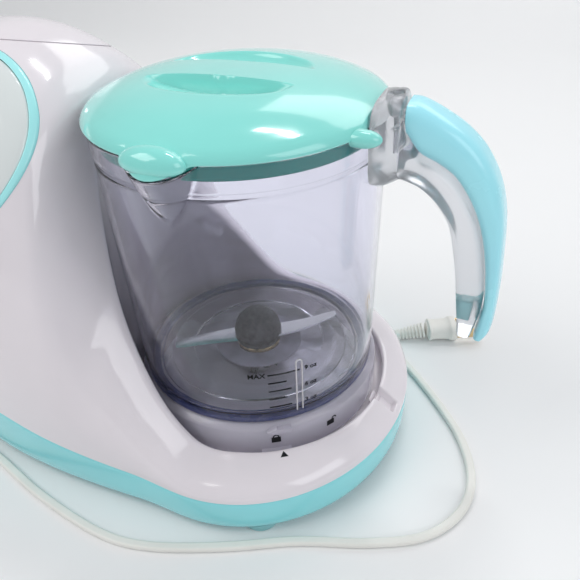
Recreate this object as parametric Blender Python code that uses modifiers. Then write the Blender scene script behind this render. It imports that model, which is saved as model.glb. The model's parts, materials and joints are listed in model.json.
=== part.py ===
"""Baby food maker: a tank column and blending base with a lift-off jug. Units are metres, +Z is up.

The origin is on the standing surface under the middle of the machine. Shapes are drawn in millimetres
about the jug's upright axis, with -X towards the tank column, and the two axis empties carry them
to their places.
"""

import math

import bmesh
import bpy
from mathutils import Matrix, Vector

MM = 0.001
GAP = 0.3

# Driving dimensions, in millimetres about the jug's axis.
JUG_AXIS_X = 38.0
MOTOR_X = -105.0
LEFT_END = -190.0
PLATFORM_R = 86.0
PLATFORM_END = 77.5
COLUMN_HALF_WIDTH = 84.0
SHOULDER_X = -30.0
CORNER_POWER = 2.45
WALL = 2.6
RECESS_R = 64.4
RECESS_FLOOR = 27.5
TUB_R = 67.0
TRAY_BOTTOM = 4.5
TRAY_FLOOR = 7.0
SHAFT_R = 3.0
BORE_R = 3.35
BEARING_R = 8.0
DRIVEN_PULLEY_R = 20.0
MOTOR_PULLEY_R = 9.0
BELT_LOW, BELT_HIGH = 13.5, 17.5
JUG_FLOOR_LOW, JUG_FLOOR_HIGH = 45.3, 48.1
JUG_RIM = 172.3
JUG_WALL = 2.5
LID_R = 63.6
LID_TAIL_X = 59.5
LID_BOTTOM = 172.8
SPOUT_AZIMUTH = -92.5
SPOUT_HALF_ANGLE = 15.0
SPOUT_REACH = 7.5
SPOUT_DROP = 4.0
SPOUT_LOW = 149.0
TANK_CENTRE = (-116.0, 16.0)
TANK_HALF = (29.0, 27.0)
TANK_FLOOR = 126.0
PANEL_CENTRE = Vector((-111.0, -48.0, 165.0))
PANEL_TILT = math.radians(39.0)
PANEL_R = 42.0
PANEL_RING = 3.0
CORD_R = 2.6

# The crest of the housing in side view, as (x, z).
CREST = ((-190, 40), (-185, 90), (-178, 130), (-168, 163), (-155, 185), (-140, 197), (-125, 201),
         (-110, 201), (-95, 197), (-81, 190), (-72, 183), (-65, 172), (-60, 152), (-55, 130), (-48, 109),
         (-40, 96), (-29, 78), (-22, 66), (-13, 54), (0, 41), (20, 39), (46, 37.5), (64, 34), (77.5, 24))
# The seam between the white housing and the base band, as (x, z).
SEAM = ((-190, 40), (-150, 39), (-107, 35), (-76, 30), (-35, 26), (0, 24), (77.5, 24))
# The jug's outer wall, as (z, radius).
JUG_SIDE = ((46.8, 57.9), (60, 58.4), (90, 59.4), (125, 60.6), (149, 61.3), (158, 61.5), (166, 61.8),
            (JUG_RIM, 62.0))
# The handle in side view: stations of (upper x, upper z, lower x, lower z, half width).
FRAME_STATIONS = ((60.2, 181, 60.2, 148, 17), (65, 182, 64.5, 147.5, 14.5), (69.8, 181.4, 69.5, 149.5, 11),
                  (70.2, 169, 70, 150, 9.8), (77, 160.5, 74, 149.3, 9.4), (84, 157, 79, 147, 9.2),
                  (91, 152, 85, 141.5, 9.0), (98, 142, 90.5, 133, 9.0), (103, 130, 93.3, 122, 9.0),
                  (106.3, 115, 95.6, 109, 9.0), (108, 98, 97.2, 96, 9.0), (107, 88, 98.3, 88, 9.0),
                  (105.2, 80.2, 99, 81, 8.4))
GRIP_STATIONS = ((71, 180.5, 71, 170, 8.6), (76, 180, 77.4, 161.6, 9.8), (85, 175.8, 84.6, 158, 10.0),
                 (94, 170, 91.8, 153, 10.0), (101.5, 162.5, 98.8, 142.7, 10.0),
                 (108, 151, 103.7, 130.4, 10.0), (111.8, 137, 106.9, 115.2, 10.0),
                 (113.4, 118, 108.6, 98, 10.0), (114, 102, 107.7, 90, 9.8), (113.2, 86.5, 106.6, 83, 9.4),
                 (110, 79, 106.2, 80.2, 8.4))
# The power cord's route from the gland to the plug, as (x, y, z).
CORD_ROUTE = ((-134.6, 96.2, 12), (-137, 103.5, 10.8), (-142.5, 111, 7.2), (-151.5, 117, 3.6),
              (-164, 119.5, 2.7), (-179, 115.5, 2.7), (-193, 102, 2.7), (-204, 78, 2.7), (-209, 48, 2.7),
              (-210, 15, 2.7), (-207, -12, 2.7), (-199, -38, 2.7), (-183, -57, 2.7), (-160, -70, 2.7),
              (-118, -82, 2.7), (-80, -94.5, 2.7), (-40, -102.8, 2.7), (-14, -101, 2.7),
              (18, -90, 2.7), (48, -76.5, 2.7), (78, -67, 2.7),
              (101, -55.5, 2.7), (114, -38, 2.7), (116.5, -18, 2.7), (109, 5, 2.7), (94, 27, 2.7),
              (68, 56, 2.7), (40.5, 78, 2.7), (0, 88.6, 2.7), (-40, 90, 2.7), (-60, 92.3, 2.7),
              (-74.5, 100.5, 2.7), (-79.5, 113, 2.7), (-73, 126.5, 2.7), (-59, 133, 2.7),
              (-32, 129.5, 2.7), (-4, 118, 2.7), (20, 101.5, 2.7), (39.5, 85.6, 2.7), (47.5, 80.2, 2.9),
              (55.5, 79.0, 3.4))
CORD_SPACING = 13.2
PLUG_HEADING = math.radians(23.0)
SCREW_PLACES = ((50, -51), (50, 51), (-150, -57.5), (-150, 57.5))
FOOT_PLACES = ((27, -68.5), (27, 68.5), (-128, -55), (-128, 55))
GLAND_FOOT = Vector((-128.0, 74.0, 12.0))
GLAND_OUT = Vector((-0.285, 0.9585, 0.0))


# ---------------------------------------------------------------- scene, materials and building blocks

def clear_scene():
    for thing in list(bpy.data.objects):
        bpy.data.objects.remove(thing, do_unlink=True)


def new_collection(name):
    made = bpy.data.collections.new(name)
    bpy.context.scene.collection.children.link(made)
    return made


def axis_empty(name, x):
    empty = bpy.data.objects.new(name, None)
    empty.location = (x * MM, 0, 0)
    PARTS.objects.link(empty)
    return empty


def finish(name, colour, roughness, metallic=0.0, alpha=1.0):
    made = bpy.data.materials.new(name)
    made.use_nodes = True
    shader = made.node_tree.nodes["Principled BSDF"]
    shader.inputs["Base Color"].default_value = (*colour, 1.0)
    shader.inputs["Roughness"].default_value = roughness
    shader.inputs["Metallic"].default_value = metallic
    shader.inputs["Alpha"].default_value = alpha
    return made


def place(name, mesh, material, parent=None):
    """Puts a mesh in the scene. With no material it is a cutter."""
    obj = bpy.data.objects.new(name, mesh)
    obj.parent = parent or JUG_AXIS
    if material is None:
        obj.hide_render = True
        obj.display_type = "WIRE"
        CUTTERS.objects.link(obj)
    else:
        mesh.materials.append(material)
        PARTS.objects.link(obj)
    return obj


def from_bmesh(name, bm, material, parent=None):
    if bm.calc_volume(signed=True) < 0:
        bmesh.ops.reverse_faces(bm, faces=bm.faces)
    mesh = bpy.data.meshes.new(name)
    bm.to_mesh(mesh)
    bm.free()
    mesh.shade_smooth()
    mesh.set_sharp_from_angle(angle=math.radians(35))
    return place(name, mesh, material, parent)


def loft(name, rings, material, parent=None, closed=False):
    """Skins rings of equally many points. A closed loft joins its last ring to its first."""
    bm = bmesh.new()
    rows = [[bm.verts.new(Vector(p) * MM) for p in ring] for ring in rings]
    count = len(rows[0])
    pairs = list(zip(rows, rows[1:]))
    if closed:
        pairs.append((rows[-1], rows[0]))
    else:
        bm.faces.new(reversed(rows[0]))
        bm.faces.new(rows[-1])
    for low, high in pairs:
        for i in range(count):
            j = (i + 1) % count
            bm.faces.new((low[i], low[j], high[j], high[i]))
    return from_bmesh(name, bm, material, parent)


def turned(name, profile, material, parent=None, steps=24, ring=True, at=(0, 0, 0)):
    """A turned shape: its profile of (radius, z) runs down the outer side, and a ring's comes back up."""
    points = [(r * MM, 0, z * MM) for r, z in profile]
    edges = [(i, i + 1) for i in range(len(points) - 1)]
    if ring:
        edges.append((len(points) - 1, 0))
    mesh = bpy.data.meshes.new(name)
    mesh.from_pydata(points, edges, [])
    obj = place(name, mesh, material, parent)
    obj.location = Vector(at) * MM
    screw = obj.modifiers.new("turn", "SCREW")
    screw.steps = screw.render_steps = steps
    screw.use_merge_vertices = True
    screw.merge_threshold = 0.00001
    return obj


def collar(outer, inner, high, low):
    """The profile of a plain ring."""
    return ((outer, high), (outer, low), (inner, low), (inner, high))


def block(name, size, matrix, material, parent=None, bevel=0.0):
    bm = bmesh.new()
    bmesh.ops.create_cube(bm, size=1.0, matrix=Matrix.Diagonal((*(Vector(size) * MM), 1)))
    bm.transform(matrix)
    obj = from_bmesh(name, bm, material, parent)
    if bevel:
        rounding = obj.modifiers.new("rounding", "BEVEL")
        rounding.width = bevel * MM
        rounding.segments = 2
    return obj


def rod(name, start, end, radius, material, parent=None, segments=32):
    start, end = Vector(start), Vector(end)
    bm = bmesh.new()
    bmesh.ops.create_cone(bm, cap_ends=True, segments=segments, radius1=radius * MM, radius2=radius * MM,
                          depth=(end - start).length * MM)
    turn = (end - start).to_track_quat("Z", "Y").to_matrix().to_4x4()
    bm.transform(Matrix.Translation((start + end) / 2 * MM) @ turn)
    return from_bmesh(name, bm, material, parent)


def ellipsoid(name, centre, half, material, parent=None, segments=20):
    bm = bmesh.new()
    bmesh.ops.create_uvsphere(bm, u_segments=segments, v_segments=segments // 2, radius=1.0)
    bm.transform(Matrix.Translation(Vector(centre) * MM) @ Matrix.Diagonal((*(Vector(half) * MM), 1)))
    return from_bmesh(name, bm, material, parent)


def tube(name, points, radius, material, resolution=2):
    curve = bpy.data.curves.new(name, "CURVE")
    curve.dimensions = "3D"
    curve.bevel_depth = radius * MM
    curve.bevel_resolution = resolution
    curve.use_fill_caps = True
    spline = curve.splines.new("POLY")
    spline.points.add(len(points) - 1)
    for point, place_at in zip(spline.points, points):
        point.co = (*(Vector(place_at) * MM), 1.0)
    curve.materials.append(material)
    obj = bpy.data.objects.new(name, curve)
    obj.parent = JUG_AXIS
    PARTS.objects.link(obj)
    return obj


def combine(obj, others, operation):
    for other in others if isinstance(others, (list, tuple)) else [others]:
        step = obj.modifiers.new(other.name, "BOOLEAN")
        step.operation = operation
        step.object = other
        step.solver = "EXACT"


# ---------------------------------------------------------------- curves and outlines

def clamp(value):
    return min(1.0, max(0.0, value))


def follow(points, x):
    """The height at x of the smooth curve through (x, height) points."""
    last = len(points) - 1
    i = max(0, min(last - 1, sum(p[0] <= x for p in points) - 1))
    slopes = [(b[1] - a[1]) / (b[0] - a[0]) for a, b in zip(points, points[1:])]

    def tangent(k):
        return slopes[0] if k == 0 else slopes[-1] if k == last else (slopes[k - 1] + slopes[k]) / 2

    width = points[i + 1][0] - points[i][0]
    t = clamp((x - points[i][0]) / width)
    return ((2 * t**3 - 3 * t**2 + 1) * points[i][1] + (t**3 - 2 * t**2 + t) * width * tangent(i)
            + (3 * t**2 - 2 * t**3) * points[i + 1][1] + (t**3 - t**2) * width * tangent(i + 1))


def half_width(x):
    """Half of the machine's width in plan, which is round about the jug and blunt at the tank end."""
    if x >= 0:
        return PLATFORM_R * math.sqrt(max(0.0, 1 - (x / PLATFORM_END) ** 2))
    t = clamp((x - SHOULDER_X) / -SHOULDER_X)
    neck = COLUMN_HALF_WIDTH + (PLATFORM_R - COLUMN_HALF_WIDTH) * t * t * (3 - 2 * t)
    back = clamp((SHOULDER_X - x) / (SHOULDER_X - LEFT_END))
    return neck * (1 - back**2.6) ** (1 / 2.6)


def seam(x):
    return follow(SEAM, x)


def crest(x):
    return max(follow(CREST, x), seam(x) + 0.4)


def stations(count, inset=0.0):
    """Places along X, close together where the housing turns steeply."""
    low, high = LEFT_END + inset + 0.05, PLATFORM_END - inset - 0.05
    fine = [low + (high - low) * i / 900 for i in range(901)]
    run = [0.0]
    for a, b in zip(fine, fine[1:]):
        step = (b - a, half_width(b) - half_width(a), 0.7 * (crest(b) - crest(a)))
        run.append(run[-1] + math.hypot(*step))
    found = []
    for k in range(count):
        target = run[-1] * k / (count - 1)
        j = min(len(run) - 2, sum(r <= target for r in run) - 1)
        found.append(fine[j] + (fine[j + 1] - fine[j]) * (target - run[j]) / (run[j + 1] - run[j]))
    return found


def housing_section(x, inset, around, below):
    """The rounded cross-section of the housing at x, inset by a wall, reaching below the seam."""
    wide = max(0.3, half_width(max(LEFT_END + 0.1, min(PLATFORM_END - 0.1, x))) - inset)
    foot = seam(x)
    tall = max(crest(x) - inset, foot - below + 0.5) - foot
    ring = [(x, -wide, foot - below)] if below else []
    for i in range(around + 1):
        angle = math.pi * i / around
        y = -wide * math.copysign(abs(math.cos(angle)) ** (2 / CORNER_POWER), math.cos(angle))
        ring.append((x, y, foot + tall * math.sin(angle) ** (2 / CORNER_POWER)))
    if below:
        ring.append((x, wide, foot - below))
    return ring


def plan_outline(inset, count=26):
    """The machine's outline in plan, moved in by inset: (x, y) points all the way round."""
    front = [(x, -half_width(x)) for x in stations(count)]
    front[0] = (LEFT_END, 0.0)
    front[-1] = (PLATFORM_END, 0.0)
    points = front + [(x, -y) for x, y in reversed(front[1:-1])]
    moved = []
    for i, (x, y) in enumerate(points):
        ax, ay = points[i - 1]
        bx, by = points[(i + 1) % len(points)]
        length = math.hypot(bx - ax, by - ay)
        moved.append((x - inset * (by - ay) / length, y + inset * (bx - ax) / length))
    return moved


def polar(radius, azimuth, z):
    return (radius * math.cos(math.radians(azimuth)), radius * math.sin(math.radians(azimuth)), z)


def lid_plane(y):
    """The height of the sloping joint under the tank lid."""
    return 192.6 - 0.287 * y


def spout_window(azimuth):
    """1 at the middle of the spout and 0 past its sides."""
    away = abs((azimuth - SPOUT_AZIMUTH + 180) % 360 - 180)
    return clamp(1 - away / SPOUT_HALF_ANGLE)


# ---------------------------------------------------------------- housing, base and panel

def make_forms():
    """The housing's outer form and the forms that hollow it."""
    outer = loft("form_outer", [housing_section(x, 0, 16, 0) for x in stations(28)], None)
    void = loft("form_void", [housing_section(x, WALL, 12, 6) for x in stations(20, WALL)], None)
    deep = loft("form_deep", [housing_section(x, 4.4, 12, 6) for x in stations(20, 4.4)], None)
    tub = turned("form_tub", ((0, 260), (TUB_R, 260), (TUB_R, 25), (11, 25), (11, 19.5), (0, 19.5)), None,
                 steps=40, ring=False)
    posts = []
    for i, (x, y) in enumerate(SCREW_PLACES):
        top = 60 if x < 0 else 200
        posts.append(rod(f"form_post_{i}", (x, y, 10), (x, y, top), 5.0, None, segments=14))
    combine(void, [tub, *posts], "DIFFERENCE")
    return outer, void, deep


def half_space(name, lift):
    """Everything above the tank lid's sloping joint, raised by lift."""
    y_low, y_high = -120.0, 120.0
    box = [[(x, y_low, lid_plane(y_low) + lift), (x, y_high, lid_plane(y_high) + lift),
            (x, y_high, 320), (x, y_low, 320)] for x in (-240.0, -69.0)]
    return loft(name, box, None)


def panel_frame():
    """The matrix that stands +Z on the control panel's normal at its centre."""
    normal = Vector((0, -math.cos(PANEL_TILT), math.sin(PANEL_TILT)))
    turn = normal.to_track_quat("Z", "Y").to_matrix().to_4x4()
    return Matrix.Translation(PANEL_CENTRE * MM) @ turn, normal


def panel_cutter(name, radius):
    _, normal = panel_frame()
    return rod(name, PANEL_CENTRE - normal * 26, PANEL_CENTRE + normal * 40, radius, None, segments=32)


def make_housing(outer, void, deep):
    recess = turned("cut_recess", ((0, 262), (RECESS_R, 262), (RECESS_R, RECESS_FLOOR), (6.3, RECESS_FLOOR),
                                   (6.3, 25.8), (8.3, 25.8), (8.3, 18), (0, 18)), None, steps=52, ring=False)
    screw_holes = [rod(f"cut_post_{i}", (x, y, 12), (x, y, seam(x) + (7 if x > 0 else 13)), 1.8, None,
                       segments=12) for i, (x, y) in enumerate(SCREW_PLACES)]
    nozzle_hole = rod("cut_nozzle", (-74, 0, 158), (-60, 0, 158), 4.3, None, segments=16)
    housing = place("upper_housing", outer.data.copy(), WHITE)
    combine(housing, [void, recess, half_space("cut_above", -0.15), panel_cutter("cut_panel", PANEL_R),
                      nozzle_hole, *screw_holes], "DIFFERENCE")

    tank_lid = place("tank_lid", outer.data.copy(), WHITE)
    combine(tank_lid, half_space("keep_above", 0.15), "INTERSECT")

    bezel = place("panel_bezel", outer.data.copy(), AQUA_RING)
    combine(bezel, panel_cutter("keep_bezel", PANEL_R - GAP), "INTERSECT")
    combine(bezel, [deep, panel_cutter("cut_bezel", PANEL_R - PANEL_RING)], "DIFFERENCE")
    face = place("touch_panel", outer.data.copy(), PANEL_GREY)
    combine(face, panel_cutter("keep_face", PANEL_R - PANEL_RING - GAP), "INTERSECT")
    combine(face, deep, "DIFFERENCE")

    matrix, normal = panel_frame()
    block("control_board", (46, 30, 1.6), Matrix.Translation(-normal * 15 * MM) @ matrix, BOARD)


def make_tray():
    def ring(inset, z):
        return [(x, y, z) for x, y in plan_outline(inset)]

    def brim(inset):
        return [(x, y, seam(max(LEFT_END, min(PLATFORM_END, x))) - GAP) for x, y in plan_outline(inset)]

    tray = loft("base_tray", [ring(2.6, TRAY_BOTTOM), ring(1.2, TRAY_BOTTOM + 1.6), ring(0.4, 12), brim(0.0),
                              brim(WALL), ring(WALL + 1.4, TRAY_FLOOR)], AQUA)
    bosses = [rod(f"form_boss_{i}", (x, y, 6), (x, y, seam(x) - 3 * GAP), 5.0, None, segments=14)
              for i, (x, y) in enumerate(SCREW_PLACES)]
    seat = turned("form_bearing_seat", collar(10.8, 8.3, 11.3, 6.0), None, steps=20)
    combine(tray, [*bosses, seat], "UNION")
    holes = [rod(f"cut_foot_{i}", (x, y, 2), (x, y, 9), 2.3, None, segments=12)
             for i, (x, y) in enumerate(FOOT_PLACES)]
    for i, (x, y) in enumerate(SCREW_PLACES):
        holes.append(turned(f"cut_screw_{i}", ((0, 60), (1.8, 60), (1.8, 9), (3.4, 9), (3.4, 2), (0, 2)), None,
                            steps=12, ring=False, at=(x, y, 0)))
    holes.append(rod("cut_gland", GLAND_FOOT - GLAND_OUT * 8, GLAND_FOOT + GLAND_OUT * 8, 4.3, None,
                     segments=20))
    combine(tray, holes, "DIFFERENCE")

    foot = ((0, 6.6), (2.0, 6.6), (2.0, 4.2), (9.0, 4.2), (9.3, 2.4), (8.4, 0), (0, 0))
    for i, (x, y) in enumerate(FOOT_PLACES):
        turned(f"rubber_foot_{i + 1}", foot, FOOT, steps=16, ring=False, at=(x, y, 0))
    for i, (x, y) in enumerate(SCREW_PLACES):
        top = seam(x) + (5.5 if x > 0 else 11)
        turned(f"housing_screw_{i + 1}", ((0, top), (1.5, top), (1.5, 8.7), (3.0, 8.7), (3.0, 6.4), (0, 6.4)),
               STEEL, steps=8, ring=False, at=(x, y, 0))


# ---------------------------------------------------------------- tank, boiler and drive

def make_tank():
    def ring(shrink, height):
        points = []
        for i in range(28):
            angle = math.tau * i / 28
            y = TANK_CENTRE[1] + (TANK_HALF[1] - shrink) * math.sin(angle)
            z = lid_plane(y) + height if height < 0 else height
            points.append((TANK_CENTRE[0] + (TANK_HALF[0] - shrink) * math.cos(angle), y, z))
        return points

    loft("water_tank", [ring(3, TANK_FLOOR), ring(0, TANK_FLOOR + 4), ring(0, -2.6), ring(2, -2.6),
                        ring(2, TANK_FLOOR + 5), ring(5, TANK_FLOOR + 2)], TANK_CLEAR)
    loft("tank_lid_gasket", [ring(3.2, -2.3), ring(3.2, -0.2), ring(5.2, -0.2), ring(5.2, -2.3)], SEAL,
         closed=True)
    rod("boiler", (-152, 0, 52), (-152, 0, 100), 14, STEEL, segments=20)
    tube("feed_tube", ((-126, 12, 125.4), (-126, 12, 121), (-131, 10, 114.5), (-143, 6, 110), (-148, 4, 106),
                       (-148, 4, 100.6)), 2.6, SEAL)
    tube("steam_tube", ((-154, -7, 100.6), (-154, -7, 106), (-146, -11, 115), (-128, -14, 117.5),
                        (-104, -14, 117.5), (-86, -10, 120), (-78, -4, 131), (-76.5, 0, 146),
                        (-76, 0, 152.4)), 2.6, SEAL)
    nozzle = rod("steam_nozzle", (-79, 0, 158), (-65, 0, 158), 3.9, DARK, segments=16)
    combine(nozzle, rod("cut_steam", (-76, 0, 158), (-60, 0, 158), 1.8, None, segments=12), "DIFFERENCE")


def make_drive():
    turned("drive_motor", ((0, 106), (8, 106), (8, 102), (28, 102), (28, 48), (10, 48), (10, 45),
                           (2.9, 45), (2.9, 60), (0, 60)), STEEL, MOTOR_AXIS, ring=False)
    plate = block("motor_bracket", (74, 50, 2.5), Matrix.Translation((0, 0, 0.0433)), GALVANISED, MOTOR_AXIS)
    legs = [block(f"form_leg_{i}", (2.5, 50, 36), Matrix.Translation((x * MM, 0, 0.0257)), None, MOTOR_AXIS)
            for i, x in enumerate((-35.7, 35.7))]
    combine(plate, legs, "UNION")
    belt_gate = block("cut_belt_gate", (10, 44, 14), Matrix.Translation((0.0357, 0, 0.0155)), None, MOTOR_AXIS)
    collar_hole = rod("cut_motor_collar", (0, 0, 30), (0, 0, 60), 10.4, None, MOTOR_AXIS, segments=24)
    combine(plate, [belt_gate, collar_hole], "DIFFERENCE")

    turned("motor_shaft", ((0, 58), (2.5, 58), (2.5, 10), (0, 10)), STEEL, MOTOR_AXIS, steps=14, ring=False)
    turned("motor_pulley", pulley(MOTOR_PULLEY_R, 2.85), WHITE_NYLON, MOTOR_AXIS, steps=18)
    turned("drive_shaft", ((0, 34), (SHAFT_R, 34), (SHAFT_R, 7.5), (0, 7.5)), STEEL, steps=14, ring=False)
    turned("driven_pulley", pulley(DRIVEN_PULLEY_R, BORE_R), WHITE_NYLON, steps=20)
    turned("lower_bearing", collar(BEARING_R, BORE_R, 11.0, 7.3), BRASS, steps=20)
    turned("upper_bearing", collar(BEARING_R, BORE_R, 25.5, 20.0), BRASS, steps=20)
    turned("seat_shaft_seal", collar(6.0, BORE_R + 0.1, 29.0, 26.2), SEAL, steps=18)
    make_belt()

    dog = turned("drive_coupling", collar(6.0, BORE_R, 37.0, 30.0), DARK, steps=24)
    fins = [block(f"form_fin_{i}", (6, 3.6, 7), Matrix.Rotation(i * math.pi / 2, 4, "Z")
                  @ Matrix.Translation((0.0078, 0, 0.0335)), None) for i in range(4)]
    combine(dog, fins, "UNION")
    matrix = Matrix.Rotation(math.radians(-80), 4, "Z") @ Matrix.Translation((0.0745, 0, 0.0135))
    block("interlock_switch", (6, 13, 9), matrix, DARK)


def pulley(radius, bore):
    """A belt pulley's profile: two flanges with the belt's track between them."""
    return ((radius + 2, 18.6), (radius + 2, 18.0), (radius, 17.8), (radius, 13.2), (radius + 2, 13.0),
            (radius + 2, 12.2), (bore, 12.2), (bore, 18.6))


def make_belt():
    """A flat belt round both pulleys, straight between the tangent points."""
    lean = math.acos((DRIVEN_PULLEY_R - MOTOR_PULLEY_R) / -MOTOR_X)

    def ring(grow, z):
        points = []
        for centre, radius, first, last in ((0.0, DRIVEN_PULLEY_R, -(math.pi - lean), math.pi - lean),
                                            (MOTOR_X, MOTOR_PULLEY_R, math.pi - lean, math.pi + lean)):
            reach = radius + grow
            for i in range(15):
                angle = first + (last - first) * i / 14
                points.append((centre + reach * math.cos(angle), reach * math.sin(angle), z))
        return points

    loft("drive_belt", [ring(0.4, BELT_LOW), ring(1.6, BELT_LOW), ring(1.6, BELT_HIGH), ring(0.4, BELT_HIGH)],
         DARK, closed=True)


# ---------------------------------------------------------------- jug, blade, handle and lid

def jug_angles():
    """Azimuths round the jug, finer across the spout."""
    coarse = [9.0 * i for i in range(40)]
    near = [SPOUT_AZIMUTH % 360 + SPOUT_HALF_ANGLE * k / 3 for k in range(-3, 4)]
    away = [a for a in coarse if abs(a - SPOUT_AZIMUTH % 360) > SPOUT_HALF_ANGLE + 3]
    return sorted(away + near)


def make_jug():
    side = [(r, z) for z, r in JUG_SIDE]
    inner = [(r - JUG_WALL, z) for r, z in reversed(side[1:])]
    profile = [(8.5, JUG_FLOOR_LOW), (56.4, JUG_FLOOR_LOW), *side, *inner, (54.9, 50.4), (52.6, JUG_FLOOR_HIGH),
               (8.5, JUG_FLOOR_HIGH)]
    rings = []
    for r, z in profile:
        ring = []
        rise = clamp((z - SPOUT_LOW) / (JUG_RIM - SPOUT_LOW))
        for azimuth in jug_angles():
            push = rise * max(0.0, spout_window(azimuth) - 0.35 * (1 - rise))
            ring.append(polar(r + SPOUT_REACH * push, azimuth, z - SPOUT_DROP * push * rise))
        rings.append(ring)
    loft("jug_body", rings, CLEAR, closed=True)

    skirt = turned("jug_collar", ((58.6, 45.0), (60.0, 43.6), (60.5, 41.5), (60.5, 28.0), (55.5, 28.0),
                                  (55.5, 41.0), (52.0, 41.0), (52.0, 43.0), (55.5, 43.0), (55.5, 45.0)),
                   CLEAR_NAVY, steps=36)
    lugs = []
    for i, azimuth in enumerate((-60, 60, 180)):
        spin = Matrix.Rotation(math.radians(azimuth), 4, "Z")
        lugs.append(block(f"form_lug_{i}", (5, 14, 3.4), spin @ Matrix.Translation((0.0604, 0, 0.0312)), None))
    arrow = Matrix.Rotation(math.radians(-60), 4, "Z") @ Matrix.Translation((0.0602, 0, 0.0400))
    lugs.append(block("form_arrow", (4, 6, 5), arrow, None))
    combine(skirt, lugs, "UNION")
    turned("jug_floor_gasket", collar(55.2, 52.3, 45.0, 43.3), SEAL, steps=32)
    turned("jug_seat_ring", collar(55.0, 51.5, 31.0, 27.9), SEAL, steps=32)
    bush = ((11.0, 50.2), (11.0, 48.4), (8.2, 48.4), (8.2, 43.6), (BORE_R, 43.6), (BORE_R, 50.2))
    turned("blade_bush", bush, BRASS, steps=20)


def blade(name, reach, height, rise, heading):
    """A two-winged blade with swept, lifted tips and a hole for the shaft."""
    rings = []
    for k in range(-7, 8):
        s = k / 7
        chord = 13.0 - 7.5 * abs(s)
        sweep = 7.0 * s * abs(s)
        z = height + rise * max(0.0, abs(s) - 0.3) ** 1.3 / 0.63
        back, front = sweep - chord / 2, sweep + chord / 2
        rings.append([(reach * s, back, z), (reach * s, front, z), (reach * s, front - 0.6, z + 1.2),
                      (reach * s, back + 0.6, z + 1.2)])
    made = loft(name, rings, STEEL)
    made.data.transform(Matrix.Rotation(math.radians(heading), 4, "Z"))
    combine(made, rod(f"cut_{name}", (0, 0, 40), (0, 0, 90), BORE_R, None, segments=20), "DIFFERENCE")


def make_blade():
    turned("blade_shaft", ((0, 61), (SHAFT_R, 61), (SHAFT_R, 39), (0, 39)), STEEL, steps=14, ring=False)
    cup = turned("jug_coupling", collar(11.0, BORE_R, 42.5, 39.0), DARK, steps=20)
    pegs = [rod(f"form_peg_{i}", (*polar(8.4, 45 + 90 * i, 0)[:2], 32), (*polar(8.4, 45 + 90 * i, 0)[:2], 40),
                1.8, None, segments=10) for i in range(4)]
    combine(cup, pegs, "UNION")
    turned("blade_hub", ((10.8, 52.4), (11.4, 51.8), (11.4, 50.6), (BORE_R, 50.6), (BORE_R, 52.4)), DARK)
    blade("blade_wings", 42.0, 52.8, 2.0, 207.0)
    cap = ((0, 67), (4.5, 66.4), (8.6, 64), (11.2, 60.4), (12, 56.6), (12, 54.4), (BORE_R, 54.4),
           (BORE_R, 62), (0, 62))
    turned("blade_cap", cap, DARK, ring=False)


def strut(name, path, material):
    """A bar with rounded corners, between the upper and lower edges of its side view."""
    rings = []
    for ux, uz, lx, lz, wide in path:
        middle = Vector(((ux + lx) / 2, 0, (uz + lz) / 2))
        half = Vector(((ux - lx) / 2, 0, (uz - lz) / 2))
        ring = []
        for i in range(12):
            angle = math.tau * (i + 0.5) / 12
            c, s = math.cos(angle), math.sin(angle)
            up = math.copysign(abs(c) ** 0.55, c)
            across = math.copysign(abs(s) ** 0.55, s)
            ring.append(middle + half * up + Vector((0, wide * across, 0)))
        rings.append(ring)
    return loft(name, rings, material)


def make_handle():
    frame = strut("handle_frame", FRAME_STATIONS, CLEAR)
    wall = turned("cut_handle_root", ((0, LID_BOTTOM), (62.6, LID_BOTTOM), (61.6, 140), (0, 140)), None,
                  steps=44, ring=False)
    bored = ((0, 190), (3.3, 190), (3.3, 174), (2.0, 174), (2.0, 160), (0, 160))
    screw_hole = turned("cut_handle_screw", bored, None, steps=16, ring=False, at=(66, 0, 0))
    combine(frame, [wall, screw_hole], "DIFFERENCE")
    strut("handle_grip", GRIP_STATIONS, GRIP_BLUE)
    turned("handle_screw", ((0, 176.4), (3.0, 176.4), (3.0, 174.3), (1.7, 174.3), (1.7, 161), (0, 161)), STEEL,
           steps=16, ring=False, at=(66, 0, 0))


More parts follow.
